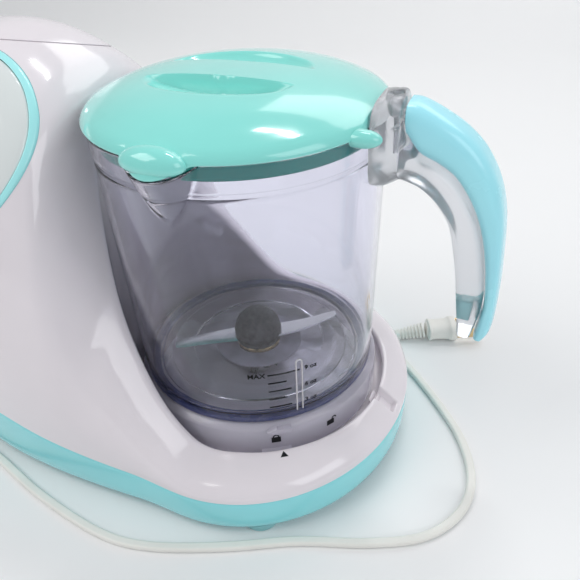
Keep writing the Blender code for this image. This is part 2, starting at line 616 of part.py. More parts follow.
def make_lid():
    dome = ((0, 187.2), (20, 186.7), (35, 185.1), (48, 182.4), (57, 179.1), (62, 176.3), (LID_R, 174.3),
            (LID_R, LID_BOTTOM), (59.4, LID_BOTTOM), (59.4, 174.0), (52, 176.0), (30, 177.4), (0, 177.8))
    lid = turned("lid_shell", dome, MINT, steps=44, ring=False)
    cover = []
    for k in range(11):
        azimuth = SPOUT_AZIMUTH + SPOUT_HALF_ANGLE * (k / 5 - 1) * 0.92
        bulge = math.cos(math.pi / 2 * (k / 5 - 1)) ** 0.8 if 0 < k < 10 else 0.0
        low = LID_BOTTOM - SPOUT_DROP * spout_window(azimuth)
        section = ((59.8, low), (61.0 + 7.8 * bulge, low), (61.6 + 8.6 * bulge, low + 2.2 * bulge + 0.3),
                   (60.6 + 7.0 * bulge, low + 5.2 * bulge + 0.6), (59.6 + 4.0 * bulge, 173.6 + 3.4 * bulge),
                   (58.6, 174.2 + 3.5 * bulge))
        cover.append([polar(r, azimuth, z) for r, z in section])
    tab = ellipsoid("form_tab", (59.6, -24.6, 172.9), (7.8, 4.3, 3.5), None, segments=16)
    under = turned("cut_tab", ((0, 174.2), (59.5, 174.2), (59.5, LID_BOTTOM), (62.9, LID_BOTTOM), (62.9, 160),
                               (0, 160)), None, steps=44, ring=False)
    combine(tab, under, "DIFFERENCE")
    combine(lid, [loft("form_spout_cover", cover, None)], "UNION")
    tail = block("cut_tail", (30, 90, 40), Matrix.Translation(((LID_TAIL_X + 15) * MM, 0, 0.190)), None)
    combine(lid, tail, "DIFFERENCE")
    combine(lid, tab, "UNION")
    scoops = []
    for side, sign in (("front", -1), ("back", 1)):
        scoop = ellipsoid(f"cut_scoop_{side}", (-3, sign * 11, 187.5), (33, 18, 7.5), None, segments=18)
        keep = block(f"keep_scoop_{side}", (90, 30, 40), Matrix.Translation((0, sign * 0.026, 0.190)), None)
        combine(scoop, keep, "INTERSECT")
        scoops.append(scoop)
    combine(lid, scoops, "DIFFERENCE")
    skirt = ((58.4, 172.3), (58.6, 167), (58.2, 165.2), (56.4, 165.2), (56.4, 172.3))
    turned("lid_inner_ring", skirt, SKIRT_GREEN, steps=40)
    turned("lid_gasket", collar(58.9, 57.0, 173.7, 172.6), SEAL, steps=32)


# ---------------------------------------------------------------- power cord

def smooth_route(points, spacing):
    """Evenly spaced points along the smooth curve through the route's points."""
    route = [Vector(p) for p in points]
    ends = [2 * route[0] - route[1], *route, 2 * route[-1] - route[-2]]
    fine = [route[0]]
    for a, b, c, d in zip(ends, ends[1:], ends[2:], ends[3:]):
        for k in range(1, 13):
            t = k / 12
            fine.append(0.5 * (2 * b + (c - a) * t + (2 * a - 5 * b + 4 * c - d) * t**2
                               + (3 * b - a - 3 * c + d) * t**3))
    run = [0.0]
    for a, b in zip(fine, fine[1:]):
        run.append(run[-1] + (b - a).length)
    count = round(run[-1] / spacing)
    made = []
    for k in range(count + 1):
        target = run[-1] * k / count
        j = min(len(run) - 2, sum(r <= target for r in run) - 1)
        made.append(fine[j].lerp(fine[j + 1], (target - run[j]) / (run[j + 1] - run[j])))
    return made


def along(origin, direction, sections, name, material, wide=1.0, tall=1.0):
    """A lofted plug part: rounded sections of (distance, half size) along a direction, made wide and tall."""
    side = Vector((-direction.y, direction.x, 0)).normalized()
    up = direction.cross(side).normalized()
    if up.z < 0:
        up = -up
    rings = []
    for distance, half in sections:
        centre = origin + direction * distance
        ring = []
        for i in range(12):
            c, s = math.cos(math.tau * i / 12), math.sin(math.tau * i / 12)
            ring.append(centre + side * half * wide * math.copysign(abs(c) ** 0.8, c)
                        + up * half * tall * math.copysign(abs(s) ** 0.8, s))
        rings.append(ring)
    return loft(name, rings, material)


def make_cord():
    along(GLAND_FOOT, GLAND_OUT, ((-7, 3.9), (0.4, 3.9), (0.6, 6.2), (2.6, 6.2), (3.4, 5.0), (22.3, 3.4)),
          "cord_gland", CORD_WHITE)
    tube("power_cord", smooth_route(CORD_ROUTE, CORD_SPACING), CORD_R, CORD_WHITE)

    ahead = Vector((math.cos(PLUG_HEADING), math.sin(PLUG_HEADING), 0))
    tail = Vector(CORD_ROUTE[-1]) + ahead * 6 * GAP
    climb = (ahead * 17 + Vector((0, 0, 2.9))).normalized()
    along(tail, climb, ((0, 3.0), (11, 4.0), (16.5, 4.6)), "plug_strain_relief", CORD_WHITE)
    neck = tail + climb * 16.5 + ahead * 1.2
    neck.z = 6.3
    along(neck, ahead, ((0, 4.6), (1.2, 6.6), (8, 6.6), (16.5, 7.2), (18.4, 6.6)), "plug_body", CORD_WHITE,
          wide=1.15, tall=0.82)
    across = Vector((-ahead.y, ahead.x, 0))
    for i, sign in enumerate((-1, 1)):
        middle = neck + ahead * (18.4 + GAP + 7.5) + across * sign * 5.6
        turn = Matrix.Rotation(PLUG_HEADING, 4, "Z")
        block(f"plug_prong_{i + 1}", (15, 1.5, 6.3), Matrix.Translation(middle * MM) @ turn, BRASS, bevel=0.4)


clear_scene()
PARTS = new_collection("baby_food_maker")
CUTTERS = new_collection("cutters")
JUG_AXIS = axis_empty("jug_axis", JUG_AXIS_X)
MOTOR_AXIS = axis_empty("motor_axis", JUG_AXIS_X + MOTOR_X)

WHITE = finish("white_gloss", (0.84, 0.80, 0.83), 0.18)
AQUA = finish("aqua_gloss", (0.24, 0.60, 0.63), 0.25)
FOOT = finish("foot_rubber", (0.30, 0.58, 0.58), 0.7)
AQUA_RING = finish("aqua_ring", (0.30, 0.83, 0.86), 0.22)
PANEL_GREY = finish("panel_grey", (0.68, 0.73, 0.73), 0.2)
MINT = finish("mint_gloss", (0.38, 0.86, 0.75), 0.22)
SKIRT_GREEN = finish("skirt_green", (0.05, 0.37, 0.29), 0.3)
GRIP_BLUE = finish("grip_blue", (0.26, 0.72, 0.88), 0.3)
CLEAR = finish("clear_tritan", (0.80, 0.80, 0.90), 0.06, alpha=0.35)
CLEAR_NAVY = finish("clear_collar", (0.62, 0.62, 0.80), 0.1, alpha=0.5)
TANK_CLEAR = finish("tank_plastic", (0.75, 0.80, 0.85), 0.15, alpha=0.5)
STEEL = finish("steel", (0.62, 0.62, 0.64), 0.25, metallic=1.0)
GALVANISED = finish("galvanised", (0.55, 0.56, 0.57), 0.45, metallic=1.0)
BRASS = finish("brass", (0.78, 0.60, 0.32), 0.3, metallic=1.0)
DARK = finish("dark_plastic", (0.07, 0.07, 0.08), 0.45)
WHITE_NYLON = finish("nylon", (0.80, 0.79, 0.74), 0.5)
SEAL = finish("silicone", (0.85, 0.85, 0.83), 0.6)
BOARD = finish("circuit_board", (0.04, 0.22, 0.10), 0.5)
CORD_WHITE = finish("cord_pvc", (0.75, 0.72, 0.63), 0.45)

make_housing(*make_forms())
make_tray()
make_tank()
make_drive()
make_jug()
make_blade()
make_handle()
make_lid()
make_cord()
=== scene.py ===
"""Baby food maker, as it looks: detailed pieces, materials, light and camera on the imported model.

Shapes are drawn in millimetres about the jug's upright axis, with -X towards the tank column, and a
piece's mesh is moved to its place in metres when it is made.
"""
import json
from bisect import bisect_right
from math import asin, atan2, copysign, cos, degrees, exp, hypot, log, pi, radians, sin, sqrt, tau

import bmesh
import bpy
from mathutils import Matrix, Vector


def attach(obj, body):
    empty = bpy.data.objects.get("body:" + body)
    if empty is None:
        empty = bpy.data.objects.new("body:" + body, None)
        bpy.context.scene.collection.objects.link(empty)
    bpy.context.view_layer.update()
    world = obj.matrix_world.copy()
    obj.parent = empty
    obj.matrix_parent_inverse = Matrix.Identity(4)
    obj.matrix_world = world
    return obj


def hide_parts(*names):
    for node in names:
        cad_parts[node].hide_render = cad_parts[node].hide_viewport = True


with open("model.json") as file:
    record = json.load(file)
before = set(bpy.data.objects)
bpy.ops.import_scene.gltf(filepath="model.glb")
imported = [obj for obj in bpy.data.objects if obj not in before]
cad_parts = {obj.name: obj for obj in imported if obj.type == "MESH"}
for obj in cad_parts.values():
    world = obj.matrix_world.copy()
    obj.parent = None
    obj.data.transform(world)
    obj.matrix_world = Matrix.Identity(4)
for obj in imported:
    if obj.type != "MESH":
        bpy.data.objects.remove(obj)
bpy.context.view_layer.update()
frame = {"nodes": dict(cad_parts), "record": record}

MM = 0.001
GAP = 0.3

# Driving dimensions in millimetres about the jug's axis. They are the CAD model's, but for WALL, BORE_R,
# LID_DOME, the cord's flat section and how low it lies, and a crest that is 0.6 lower at its top.
JUG_AXIS_X = 38.0
LEFT_END = -190.0
PLATFORM_R = 86.0
PLATFORM_END = 77.5
COLUMN_HALF_WIDTH = 84.0
SHOULDER_X = -30.0
CORNER_POWER = 2.45
WALL = 2.2
BORE_R = 6.4
SHAFT_R = 3.0
RECESS_R = 64.4
RECESS_FLOOR = 27.5
TRAY_BOTTOM = 4.5
JUG_FLOOR_LOW = 45.3
JUG_RIM = 172.3
JUG_WALL = 2.5
LID_R = 63.6
LID_TAIL_X = 59.5
LID_BOTTOM = 172.8
SPOUT_AZIMUTH = -92.5
SPOUT_HALF_ANGLE = 15.0
SPOUT_REACH = 7.5
SPOUT_DROP = 4.0
SPOUT_LOW = 149.0
PANEL_CENTRE = Vector((-111.0, -48.0, 165.0))
PANEL_TILT = radians(39.0)
PANEL_ACROSS = Vector((1, 0, 0))
PANEL_OUT = Vector((0, -cos(PANEL_TILT), sin(PANEL_TILT)))
PANEL_UP = PANEL_OUT.cross(PANEL_ACROSS).normalized()
PANEL_R = 42.0
PANEL_RING = 3.0
LID_PLANE_Z = 192.6
LID_PLANE_SLOPE = 0.287
CREST = ((-190, 40), (-185, 90), (-178, 130), (-168, 163), (-155, 185), (-140, 197), (-125, 200.4),
         (-110, 200.4), (-95, 197), (-81, 190), (-72, 183), (-65, 172), (-60, 152), (-55, 130), (-48, 109),
         (-40, 96), (-29, 78), (-22, 66), (-13, 54), (0, 41), (20, 39), (46, 37.5), (64, 34), (77.5, 24))
SEAM = ((-190, 40), (-150, 39), (-107, 35), (-76, 30), (-35, 26), (0, 24), (77.5, 24))
JUG_SIDE = ((46.8, 57.9), (60, 58.4), (90, 59.4), (125, 60.6), (149, 61.3), (158, 61.5), (166, 61.8),
            (JUG_RIM, 62.0))
LID_DOME = ((0, 187.2), (20, 186.7), (35, 185.1), (48, 182.4), (57, 179.1), (62, 176.2), (63.6, 174.1))
FRAME_STATIONS = ((60.2, 181, 60.2, 148, 17), (65, 182, 64.5, 147.5, 14.5), (69.8, 181.4, 69.5, 149.5, 11),
                  (70.2, 169, 70, 150, 9.8), (77, 160.5, 74, 149.3, 9.4), (84, 157, 79, 147, 9.2),
                  (91, 152, 85, 141.5, 9.0), (98, 142, 90.5, 133, 9.0), (103, 130, 93.3, 122, 9.0),
                  (106.3, 115, 95.6, 109, 9.0), (108, 98, 97.2, 96, 9.0), (107, 88, 98.3, 88, 9.0),
                  (105.2, 80.2, 99, 81, 8.4))
GRIP_STATIONS = ((71, 180.5, 71, 170, 8.6), (76, 180, 77.4, 161.6, 9.8), (85, 175.8, 84.6, 158, 10.0),
                 (94, 170, 91.8, 153, 10.0), (101.5, 162.5, 98.8, 142.7, 10.0),
                 (108, 151, 103.7, 130.4, 10.0), (111.8, 137, 106.9, 115.2, 10.0),
                 (113.4, 118, 108.6, 98, 10.0), (114, 102, 107.7, 90, 9.8), (113.2, 86.5, 106.6, 83, 9.4),
                 (110, 79, 106.2, 80.2, 8.4))
CORD_START = ((-134.6, 96.2, 12), (-137, 103.5, 10.8), (-142.5, 111, 7.2), (-151.5, 117, 3.6))
CORD_LOW = 2.7
CORD_ON_TABLE = ((-164, 119.5), (-179, 115.5), (-193, 102), (-204, 78), (-209, 48), (-210, 15), (-207, -12),
                 (-199, -38), (-183, -57), (-160, -70), (-118, -82), (-80, -94.5), (-40, -102.8),
                 (-14, -101), (18, -90), (48, -76.5), (78, -67), (101, -55.5), (114, -38), (116.5, -18),
                 (109, 5), (94, 27), (68, 56), (40.5, 78), (0, 88.6), (-40, 90), (-60, 92.3), (-74.5, 100.5),
                 (-79.5, 113), (-73, 126.5), (-59, 133), (-32, 129.5), (-4, 118), (20, 101.5), (39.5, 85.6))
CORD_END = ((47.5, 80.2, 2.9), (55.5, 79.0, 3.4))
CORD_ROUTE = (*CORD_START, *((x, y, CORD_LOW) for x, y in CORD_ON_TABLE), *CORD_END)
CORD_WIDTH, CORD_THICKNESS = 4.4, 3.2
CORD_LIE = 1.05
PLUG_HEADING = radians(23.0)
GLAND_FOOT = Vector((-128.0, 74.0, 12.0))
GLAND_OUT = Vector((-0.285, 0.9585, 0.0))
SCREW_PLACES = ((50, -51), (50, 51), (-150, -57.5), (-150, 57.5))
FOOT_PLACES = ((27, -68.5), (27, 68.5), (-128, -55), (-128, 55))

# What only the look has: the lip's rounding and notch, how the housing's skin and the panel's place on it
# are found, the marks on the jug, and the lid's scoops and spout cover.
LIP_ROUNDING = 4.4
NOTCH_Y = -4.5
SURFACE_POINTS = 150
PANEL_NEAR, PANEL_FAR = -26.0, 34.0
WALL_BEND_R = 58.5
RIB_AZIMUTH = -47.9
SCALE_LOW, SCALE_STEP = 55.1, 4.84
SCALE_LEFT = -61.5
SCALE_LENGTHS = (10.2, 8.2, 10.2, 8.2, 14.2)
OUNCE_AZIMUTH = -45.5
LOCKED_AZIMUTH, UNLOCKED_AZIMUTH = -60.0, -34.0
ARROW_AZIMUTH = -58
COLLAR_R = 60.5
PRINT_LIFT = 0.03
SCOOP_EDGE, SCOOP_SOFT = 11.0, 0.75
SCOOP_HALF = (33.0, 18.0)
SCOOP_TOP, SCOOP_DEPTH = 187.5, 7.5
COVER_HALF_ANGLE = 13.8
COVER_REACH = 8.6

# The camera and the lights, in metres: name, place, target, width and height, watts, tint.
CAMERA_PLACE = (0.1554, -0.2354, 0.260)
CAMERA_AHEAD, CAMERA_UP = Vector((-0.317, 0.758, -0.571)), Vector((-0.172, 0.546, 0.820))
CAMERA_LENS, SENSOR_WIDTH = 39.9, 36.0
LIGHTS = (("key", (-0.70, -0.50, 1.15), (0, 0, 0.05), (0.9, 0.7), 6.2, (1.0, 0.98, 0.96)),
          ("fill", (0.95, -0.35, 0.75), (0, 0, 0.08), (0.7, 0.7), 3.1, (0.95, 0.97, 1.0)),
          ("back", (0.25, 0.95, 0.95), (0, 0, 0.12), (1.1, 0.5), 3.4, (1, 1, 1)),
          ("streak", (0.05, 0.35, 0.95), (0, 0, 0.15), (0.24, 0.05), 1.2, (1, 1, 1)))
WORLD_TINT, WORLD_STRENGTH = (0.93, 0.96, 1.0, 1), 0.46


# ---- camera, light and floor

def new_object(name, data):
    """An object of the data, in the scene."""
    made = bpy.data.objects.new(name, data)
    bpy.context.scene.collection.objects.link(made)
    return made


def make_camera():
    """The camera that sees the machine as the photograph does."""
    camera = new_object("camera", bpy.data.cameras.new("camera"))
    camera.data.lens = CAMERA_LENS
    camera.data.sensor_width = SENSOR_WIDTH
    camera.location = CAMERA_PLACE
    forward = CAMERA_AHEAD.normalized()
    right = forward.cross(CAMERA_UP).normalized()
    camera.rotation_euler = Matrix((right, right.cross(forward), -forward)).transposed().to_euler()
    bpy.context.scene.camera = camera


def make_studio():
    """Soft lights and a pale backdrop that curves up behind the machine."""
    bpy.context.scene.view_settings.view_transform = "Standard"
    world = bpy.data.worlds.new("studio")
    world.use_nodes = True
    sky = world.node_tree.nodes["Background"].inputs
    sky["Color"].default_value = WORLD_TINT
    sky["Strength"].default_value = WORLD_STRENGTH
    bpy.context.scene.world = world
    for name, place, target, size, power, tint in LIGHTS:
        lamp = bpy.data.lights.new(name, "AREA")
        lamp.shape = "RECTANGLE"
        lamp.size, lamp.size_y = size
        lamp.energy = power
        lamp.color = tint
        light = new_object(name, lamp)
        light.location = place
        light.rotation_euler = (Vector(target) - Vector(place)).to_track_quat("-Z", "Y").to_euler()

    side, near, bend, radius, top = 2.2, -1.6, 0.75, 0.35, 1.5
    curve = [heading(7.5 * i) for i in range(13)]
    outline = [(near, 0.0), *((bend + radius * s, radius - radius * c) for c, s in curve),
               (bend + radius, top)]
    bm = bmesh.new()
    rows = [[bm.verts.new((x, y, z)) for x in (-side, side)] for y, z in outline]
    for low, high in zip(rows, rows[1:]):
        bm.faces.new((low[0], low[1], high[1], high[0]))
    mesh = as_mesh("backdrop", bm)
    mesh.shade_smooth()
    mesh.materials.append(plastic("backdrop_paper", (0.90, 0.90, 0.90), (0.92, 0.92, 0.92), 0.5, 1.5))
    backdrop = new_object("backdrop", mesh)


# ---- materials

def plastic(name, dark, light, rough, scale, bump=0.0, grain=900.0, **sockets):
    """A moulded surface: slow colour drift, uneven gloss and, where bump is given, a fine grain."""
    made = bpy.data.materials.new(name)
    made.use_nodes = True
    nodes, links = made.node_tree.nodes, made.node_tree.links
    shader = nodes["Principled BSDF"]
    coords = nodes.new("ShaderNodeTexCoord")

    def node(kind, source, entry, **values):
        fresh = nodes.new("ShaderNode" + kind)
        links.new(source, fresh.inputs[entry])
        for socket, value in values.items():
            fresh.inputs[socket.replace("_", " ")].default_value = value
        return fresh

    drift = node("TexNoise", coords.outputs["Object"], "Vector", Scale=scale, Detail=3.0)
    ramp = node("ValToRGB", drift.outputs["Fac"], "Fac")
    for element, position, colour in zip(ramp.color_ramp.elements, (0.32, 0.68), (dark, light)):
        element.position = position
        element.color = (*colour, 1)
    links.new(ramp.outputs["Color"], shader.inputs["Base Color"])
    wear = node("TexNoise", coords.outputs["Object"], "Vector", Scale=scale * 6, Detail=5.0)
    gloss = node("MapRange", wear.outputs["Fac"], "Value", From_Min=0.3, From_Max=0.7, To_Min=rough * 0.8,
                 To_Max=rough * 1.2)
    links.new(gloss.outputs["Result"], shader.inputs["Roughness"])
    if bump:
        pits = node("TexNoise", coords.outputs["Object"], "Vector", Scale=grain, Detail=2.0)
        relief = node("Bump", pits.outputs["Fac"], "Height", Strength=bump, Distance=0.0002)
        links.new(relief.outputs["Normal"], shader.inputs["Normal"])
    for socket, value in sockets.items():
        shader.inputs[socket.replace("_", " ")].default_value = value
    return made


def make_materials():
    """Every finish by its name, each from its colour and roughness."""
    made = {}

    def finish(name, colour, rough, scale=18.0, spread=0.03, **more):
        dark, light = (tuple(clamp(c * (1 + side * spread)) for c in colour) for side in (-1, 1))
        made[name] = plastic(name, dark, light, rough, scale, **more)

    finish("white_gloss", (0.83, 0.775, 0.81), 0.13, Coat_Weight=0.5, Coat_Roughness=0.05)
    finish("aqua_gloss", (0.28, 0.78, 0.82), 0.2, Coat_Weight=0.3)
    finish("aqua_ring", (0.42, 0.90, 0.91), 0.18, Coat_Weight=0.3)
    finish("panel_grey", (0.76, 0.80, 0.79), 0.16, Coat_Weight=0.6)
    finish("mint_gloss", (0.27, 0.79, 0.72), 0.14, Coat_Weight=0.6, Coat_Roughness=0.04)
    finish("skirt_green", (0.01, 0.38, 0.32), 0.35)
    finish("grip_blue", (0.40, 0.88, 1.0), 0.24, Coat_Weight=0.3)
    finish("clear_tritan", (0.90, 0.90, 0.97), 0.035, spread=0.01, Transmission_Weight=1.0, IOR=1.46)
    finish("clear_collar", (0.86, 0.83, 0.92), 0.09, Transmission_Weight=0.62, IOR=1.4)
    finish("frosted_frame", (0.90, 0.91, 0.94), 0.16, Transmission_Weight=0.82, IOR=1.4)
    # Whitish and less clear than the jug: painted highlight, so that the clear moulded rib reads as bright
    # lines.
    finish("rib_painted_highlight", (0.95, 0.92, 0.96), 0.2, Transmission_Weight=0.3, IOR=1.4)
    # Navy, for the floor gasket, and also as painted shade for the band in the jug's foot.
    finish("navy_seal", (0.06, 0.08, 0.24), 0.3, spread=0.1, Coat_Weight=0.3)
    finish("tank_plastic", (0.80, 0.86, 0.90), 0.12, Transmission_Weight=0.9, IOR=1.45)
    finish("steel", (0.62, 0.62, 0.64), 0.22, scale=60.0, Metallic=1.0)
    finish("galvanised", (0.55, 0.56, 0.57), 0.42, scale=90.0, spread=0.12, Metallic=1.0)
    finish("brass", (0.78, 0.60, 0.32), 0.28, scale=70.0, spread=0.06, Metallic=1.0)
    finish("dark_plastic", (0.034, 0.033, 0.038), 0.55, scale=420.0, spread=0.95, bump=0.5, grain=500.0)
    finish("nylon", (0.80, 0.79, 0.74), 0.45, bump=0.1)
    finish("silicone", (0.85, 0.85, 0.83), 0.55, bump=0.05)
    finish("foot_rubber", (0.30, 0.60, 0.62), 0.6, bump=0.3)
    finish("circuit_board", (0.04, 0.24, 0.11), 0.42, scale=160.0, spread=0.15)
    finish("cord_pvc", (0.86, 0.85, 0.80), 0.42, scale=40.0, spread=0.04, bump=0.08)
    finish("print", (0.012, 0.012, 0.014), 0.7, spread=0.2, Specular_IOR_Level=0.15)
    finish("hazed_floor", (0.6, 0.56, 0.66), 0.4, scale=90.0, spread=0.25, Transmission_Weight=0.5, IOR=1.3)
    return made


# ---- building blocks

shift = Matrix.Translation


def spin(angle, axis="Z"):
    """A turn about an axis."""
    return Matrix.Rotation(angle, 4, axis)


def clamp(value):
    """The value, kept between 0 and 1."""
    return min(1.0, max(0.0, value))


def smooth(value):
    """A soft step from 0 to 1, as the value goes from 0 to 1."""
    t = clamp(value)
    return t * t * (3 - 2 * t)


def curve_through(points):
    """The smooth curve through (x, height) points, as a function of x."""
    xs = [p[0] for p in points]
    slopes = [(b[1] - a[1]) / (b[0] - a[0]) for a, b in zip(points, points[1:])]
    tangents = [slopes[0], *((a + b) / 2 for a, b in zip(slopes, slopes[1:])), slopes[-1]]

    def height(x):
        i = max(0, min(len(points) - 2, bisect_right(xs, x) - 1))
        width = xs[i + 1] - xs[i]
        t = clamp((x - xs[i]) / width)
        return ((2 * t**3 - 3 * t**2 + 1) * points[i][1] + (t**3 - 2 * t**2 + t) * width * tangents[i]
                + (3 * t**2 - 2 * t**3) * points[i + 1][1] + (t**3 - t**2) * width * tangents[i + 1])

    return height


crest_curve = curve_through(CREST)
seam = curve_through(SEAM)
jug_radius = curve_through(JUG_SIDE)
dome_height = curve_through(LID_DOME)


def heading(azimuth):
    """The cosine and sine of an azimuth in degrees."""
    return cos(radians(azimuth)), sin(radians(azimuth))


def polar(radius, azimuth, z):
    """The point at a radius, an azimuth in degrees and a height."""
    c, s = heading(azimuth)
    return Vector((radius * c, radius * s, z))


def fatten(value, power):
    """A sine or cosine moved towards -1 or 1, for an outline squarer than an ellipse."""
    return copysign(abs(value) ** power, value)


def bent(start, corner, end, count):
    """Points of a curve from start to end that is drawn towards the corner between them."""
    return [(1 - t) ** 2 * start + 2 * t * (1 - t) * corner + t * t * end
            for t in (k / count for k in range(count + 1))]


def turn_away(azimuth, centre):
    """The signed angle from a centre azimuth, between -180 and 180."""
    return (azimuth - centre + 180) % 360 - 180


def as_mesh(name, bm):
    """The bmesh as a mesh. It uses up bm."""
    mesh = bpy.data.meshes.new(name)
    bm.to_mesh(mesh)
    bm.free()
    return mesh


def shaded(mesh, sharp=38.0):
    """The mesh, smooth but for edges sharper than so many degrees."""
    mesh.shade_smooth()
    mesh.set_sharp_from_angle(angle=radians(sharp))
    return mesh


def mesh_of(name, bm, sharp=38.0):
    """A shaded mesh with its normals pointing out. It uses up bm."""
    bmesh.ops.remove_doubles(bm, verts=bm.verts, dist=0.0005)
    bmesh.ops.dissolve_degenerate(bm, edges=bm.edges, dist=0.0005)
    if bm.calc_volume(signed=True) < 0:
        bmesh.ops.reverse_faces(bm, faces=bm.faces)
    return shaded(as_mesh(name, bm), sharp)


def hand_in(name, shape, body, slot, nodes=(), sharp=38.0):
    """Puts a mesh or bmesh, drawn in millimetres about the jug's axis, into the scene on its body."""
    mesh = mesh_of(name, shape, sharp) if isinstance(shape, bmesh.types.BMesh) else shape
    mesh.transform(shift((JUG_AXIS_X * MM, 0, 0)) @ Matrix.Diagonal((MM, MM, MM, 1)))
    mesh.materials.clear()
    mesh.materials.append(FINISHES[slot])
    piece = new_object(name, mesh)
    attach(piece, body)
    if nodes:
        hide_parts(*nodes)
    return piece


def skin(rings, closed=False, caps=True):
    """A bmesh skinned over rings of equally many points. A closed one joins its last ring to its first."""
    bm = bmesh.new()
    rows = [[bm.verts.new(p) for p in ring] for ring in rings]
    count = len(rows[0])
    pairs = list(zip(rows, rows[1:]))
    if closed:
        pairs.append((rows[-1], rows[0]))
    elif caps:
        bm.faces.new(reversed(rows[0]))
        bm.faces.new(rows[-1])
    for low, high in pairs:
        for i in range(count):
            j = (i + 1) % count
            bm.faces.new((low[i], low[j], high[j], high[i]))
    return bm


def turned(profile, steps=96, at=(0, 0, 0), closed=True):
    """A turned bmesh from a profile of (radius, z)."""
    rings = [[Vector(at) + polar(max(r, 0.02), 360 * i / steps, z) for i in range(steps)] for r, z in profile]
    return skin(rings, closed=closed)


def rounded(profile, radius, points=4):
    """A closed profile with every corner rounded."""
    made = []
    for i, corner in enumerate(profile):
        corner = Vector(corner)
        before = Vector(profile[i - 1]) - corner
        after = Vector(profile[(i + 1) % len(profile)]) - corner
        reach = min(radius, 0.45 * before.length, 0.45 * after.length)
        start, end = corner + before.normalized() * reach, corner + after.normalized() * reach
        made += bent(start, corner, end, points)
    return made


def turned_piece(name, corners, radius, steps, body, slot, nodes=()):
    """Hands in a ring turned from a section of (radius, z) corners, each rounded."""
    hand_in(name, turned(rounded(corners, radius), steps), body, slot, nodes)


def evaluated(holder):
    """The object's mesh with its modifiers applied. It removes the object."""
    made = bpy.data.meshes.new_from_object(holder.evaluated_get(bpy.context.evaluated_depsgraph_get()))
    bpy.data.objects.remove(holder)
    return made


def combine(mesh, others):
    """Cuts closed bmeshes out of a mesh and returns the result."""
    host = new_object("host", mesh)
    helpers = [new_object("helper", mesh_of("helper", other)) for other in others]
    for helper in helpers:
        step = host.modifiers.new("step", "BOOLEAN")
        step.operation = "DIFFERENCE"
        step.object = helper
        step.solver = "EXACT"
    made = evaluated(host)
    for helper in helpers:
        bpy.data.objects.remove(helper)
    return shaded(made)


def thicken(mesh, thickness):
    """Turns an open skin into a closed shell, thickened inwards."""
    host = new_object("host", mesh)
    shell = host.modifiers.new("shell", "SOLIDIFY")
    shell.thickness = thickness
    shell.offset = -1.0
    shell.use_even_offset = False
    return shaded(evaluated(host), 42)


def block(size, matrix, bevel=0.0):
    """A box, in millimetres, with rounded edges."""
    bm = bmesh.new()
    bmesh.ops.create_cube(bm, size=1.0, matrix=Matrix.Diagonal((*size, 1)))
    if bevel:
        bmesh.ops.bevel(bm, geom=bm.edges, offset=bevel, segments=3, profile=0.5, affect="EDGES")
    bm.transform(matrix)
    return bm


def rod(start, end, radius, segments=32):
    """A round rod between two points."""
    start, end = Vector(start), Vector(end)
    bm = bmesh.new()
    bmesh.ops.create_cone(bm, cap_ends=True, segments=segments, radius1=radius, radius2=radius,
                          depth=(end - start).length)
    turn = (end - start).to_track_quat("Z", "Y").to_matrix().to_4x4()
    bm.transform(shift((start + end) / 2) @ turn)
    return bm


def ellipsoid(centre, half, segments=48):
    """An ellipsoid from its centre and half sizes."""
    bm = bmesh.new()
    bmesh.ops.create_uvsphere(bm, u_segments=segments, v_segments=segments // 2, radius=1.0)
    bm.transform(shift(Vector(centre)) @ Matrix.Diagonal((*half, 1)))
    return bm


def joined(name, *parts):
    """A mesh of several closed bmeshes, each with its faces pointing out. It uses them up."""
    whole = bmesh.new()
    for part in parts:
        if part.calc_volume(signed=True) < 0:
            bmesh.ops.reverse_faces(part, faces=part.faces)
        mesh = as_mesh("part", part)
        whole.from_mesh(mesh)
        bpy.data.meshes.remove(mesh)
    return shaded(as_mesh(name, whole))


# ---- power cord, gland and plug

def spline_points(points, steps):
    """Points along the smooth curve through the given points of any dimension."""
    route = [Vector(p) for p in points]
    ends = [2 * route[0] - route[1], *route, 2 * route[-1] - route[-2]]
    fine = [route[0]]
    for a, b, c, d in zip(ends, ends[1:], ends[2:], ends[3:]):
        for k in range(1, steps + 1):
            t = k / steps
            fine.append(0.5 * (2 * b + (c - a) * t + (2 * a - 5 * b + 4 * c - d) * t**2
                               + (3 * b - a - 3 * c + d) * t**3))
    return fine


def tangent(points, i, closed=False):
    """The direction of the line through points, at point i."""
    last = len(points) - 1
    before = points[i - 1] if i or closed else points[0]
    after = points[(i + 1) % len(points)] if i < last or closed else points[last]
    return (after - before).normalized()


def left_of(ahead):
    """The level direction to the left of a direction."""
    return Vector((-ahead.y, ahead.x, 0)).normalized()


def cord_section(count=20):
    """The outline of a two-conductor cord: two round cores with a shallow valley between them."""
    outline = []
    for c, s in (heading(360 * i / count) for i in range(count)):
        valley = 0.28 * exp(-(2.6 * c) ** 2)
        outline.append((CORD_WIDTH / 2 * fatten(c, 0.8), (CORD_THICKNESS / 2 - valley) * fatten(s, 0.8)))
    return outline


def tapered(name, origin, direction, sections, wide, tall, node):
    """Hands in a moulding with rounded sections of (distance, half size) along a direction."""
    side = left_of(direction)
    up = direction.cross(side).normalized()
    rings = []
    for distance, half in sections:
        middle = origin + direction * distance
        rings.append([middle + side * half * wide * fatten(c, 0.75) + up * half * tall * fatten(s, 0.75)
                      for c, s in map(heading, range(0, 360, 9))])
    return hand_in(name, skin(rings), "base", "cord_pvc", [node])


def slotted(start, end, low, high, pitch=2.1, depth=0.72):
    """Sections of a tapered relief with slots round it."""
    sections = [(start, low)]
    for k in range(int((end - start) / pitch)):
        for offset, cut in ((0.05, 1.0), (1.0, 1.0), (1.15, depth), (1.95, depth), (2.08, 1.0)):
            run = pitch * k + offset
            sections.append((start + run, (low + (high - low) * run / (end - start)) * cut))
    sections.append((end, high))
    return sections


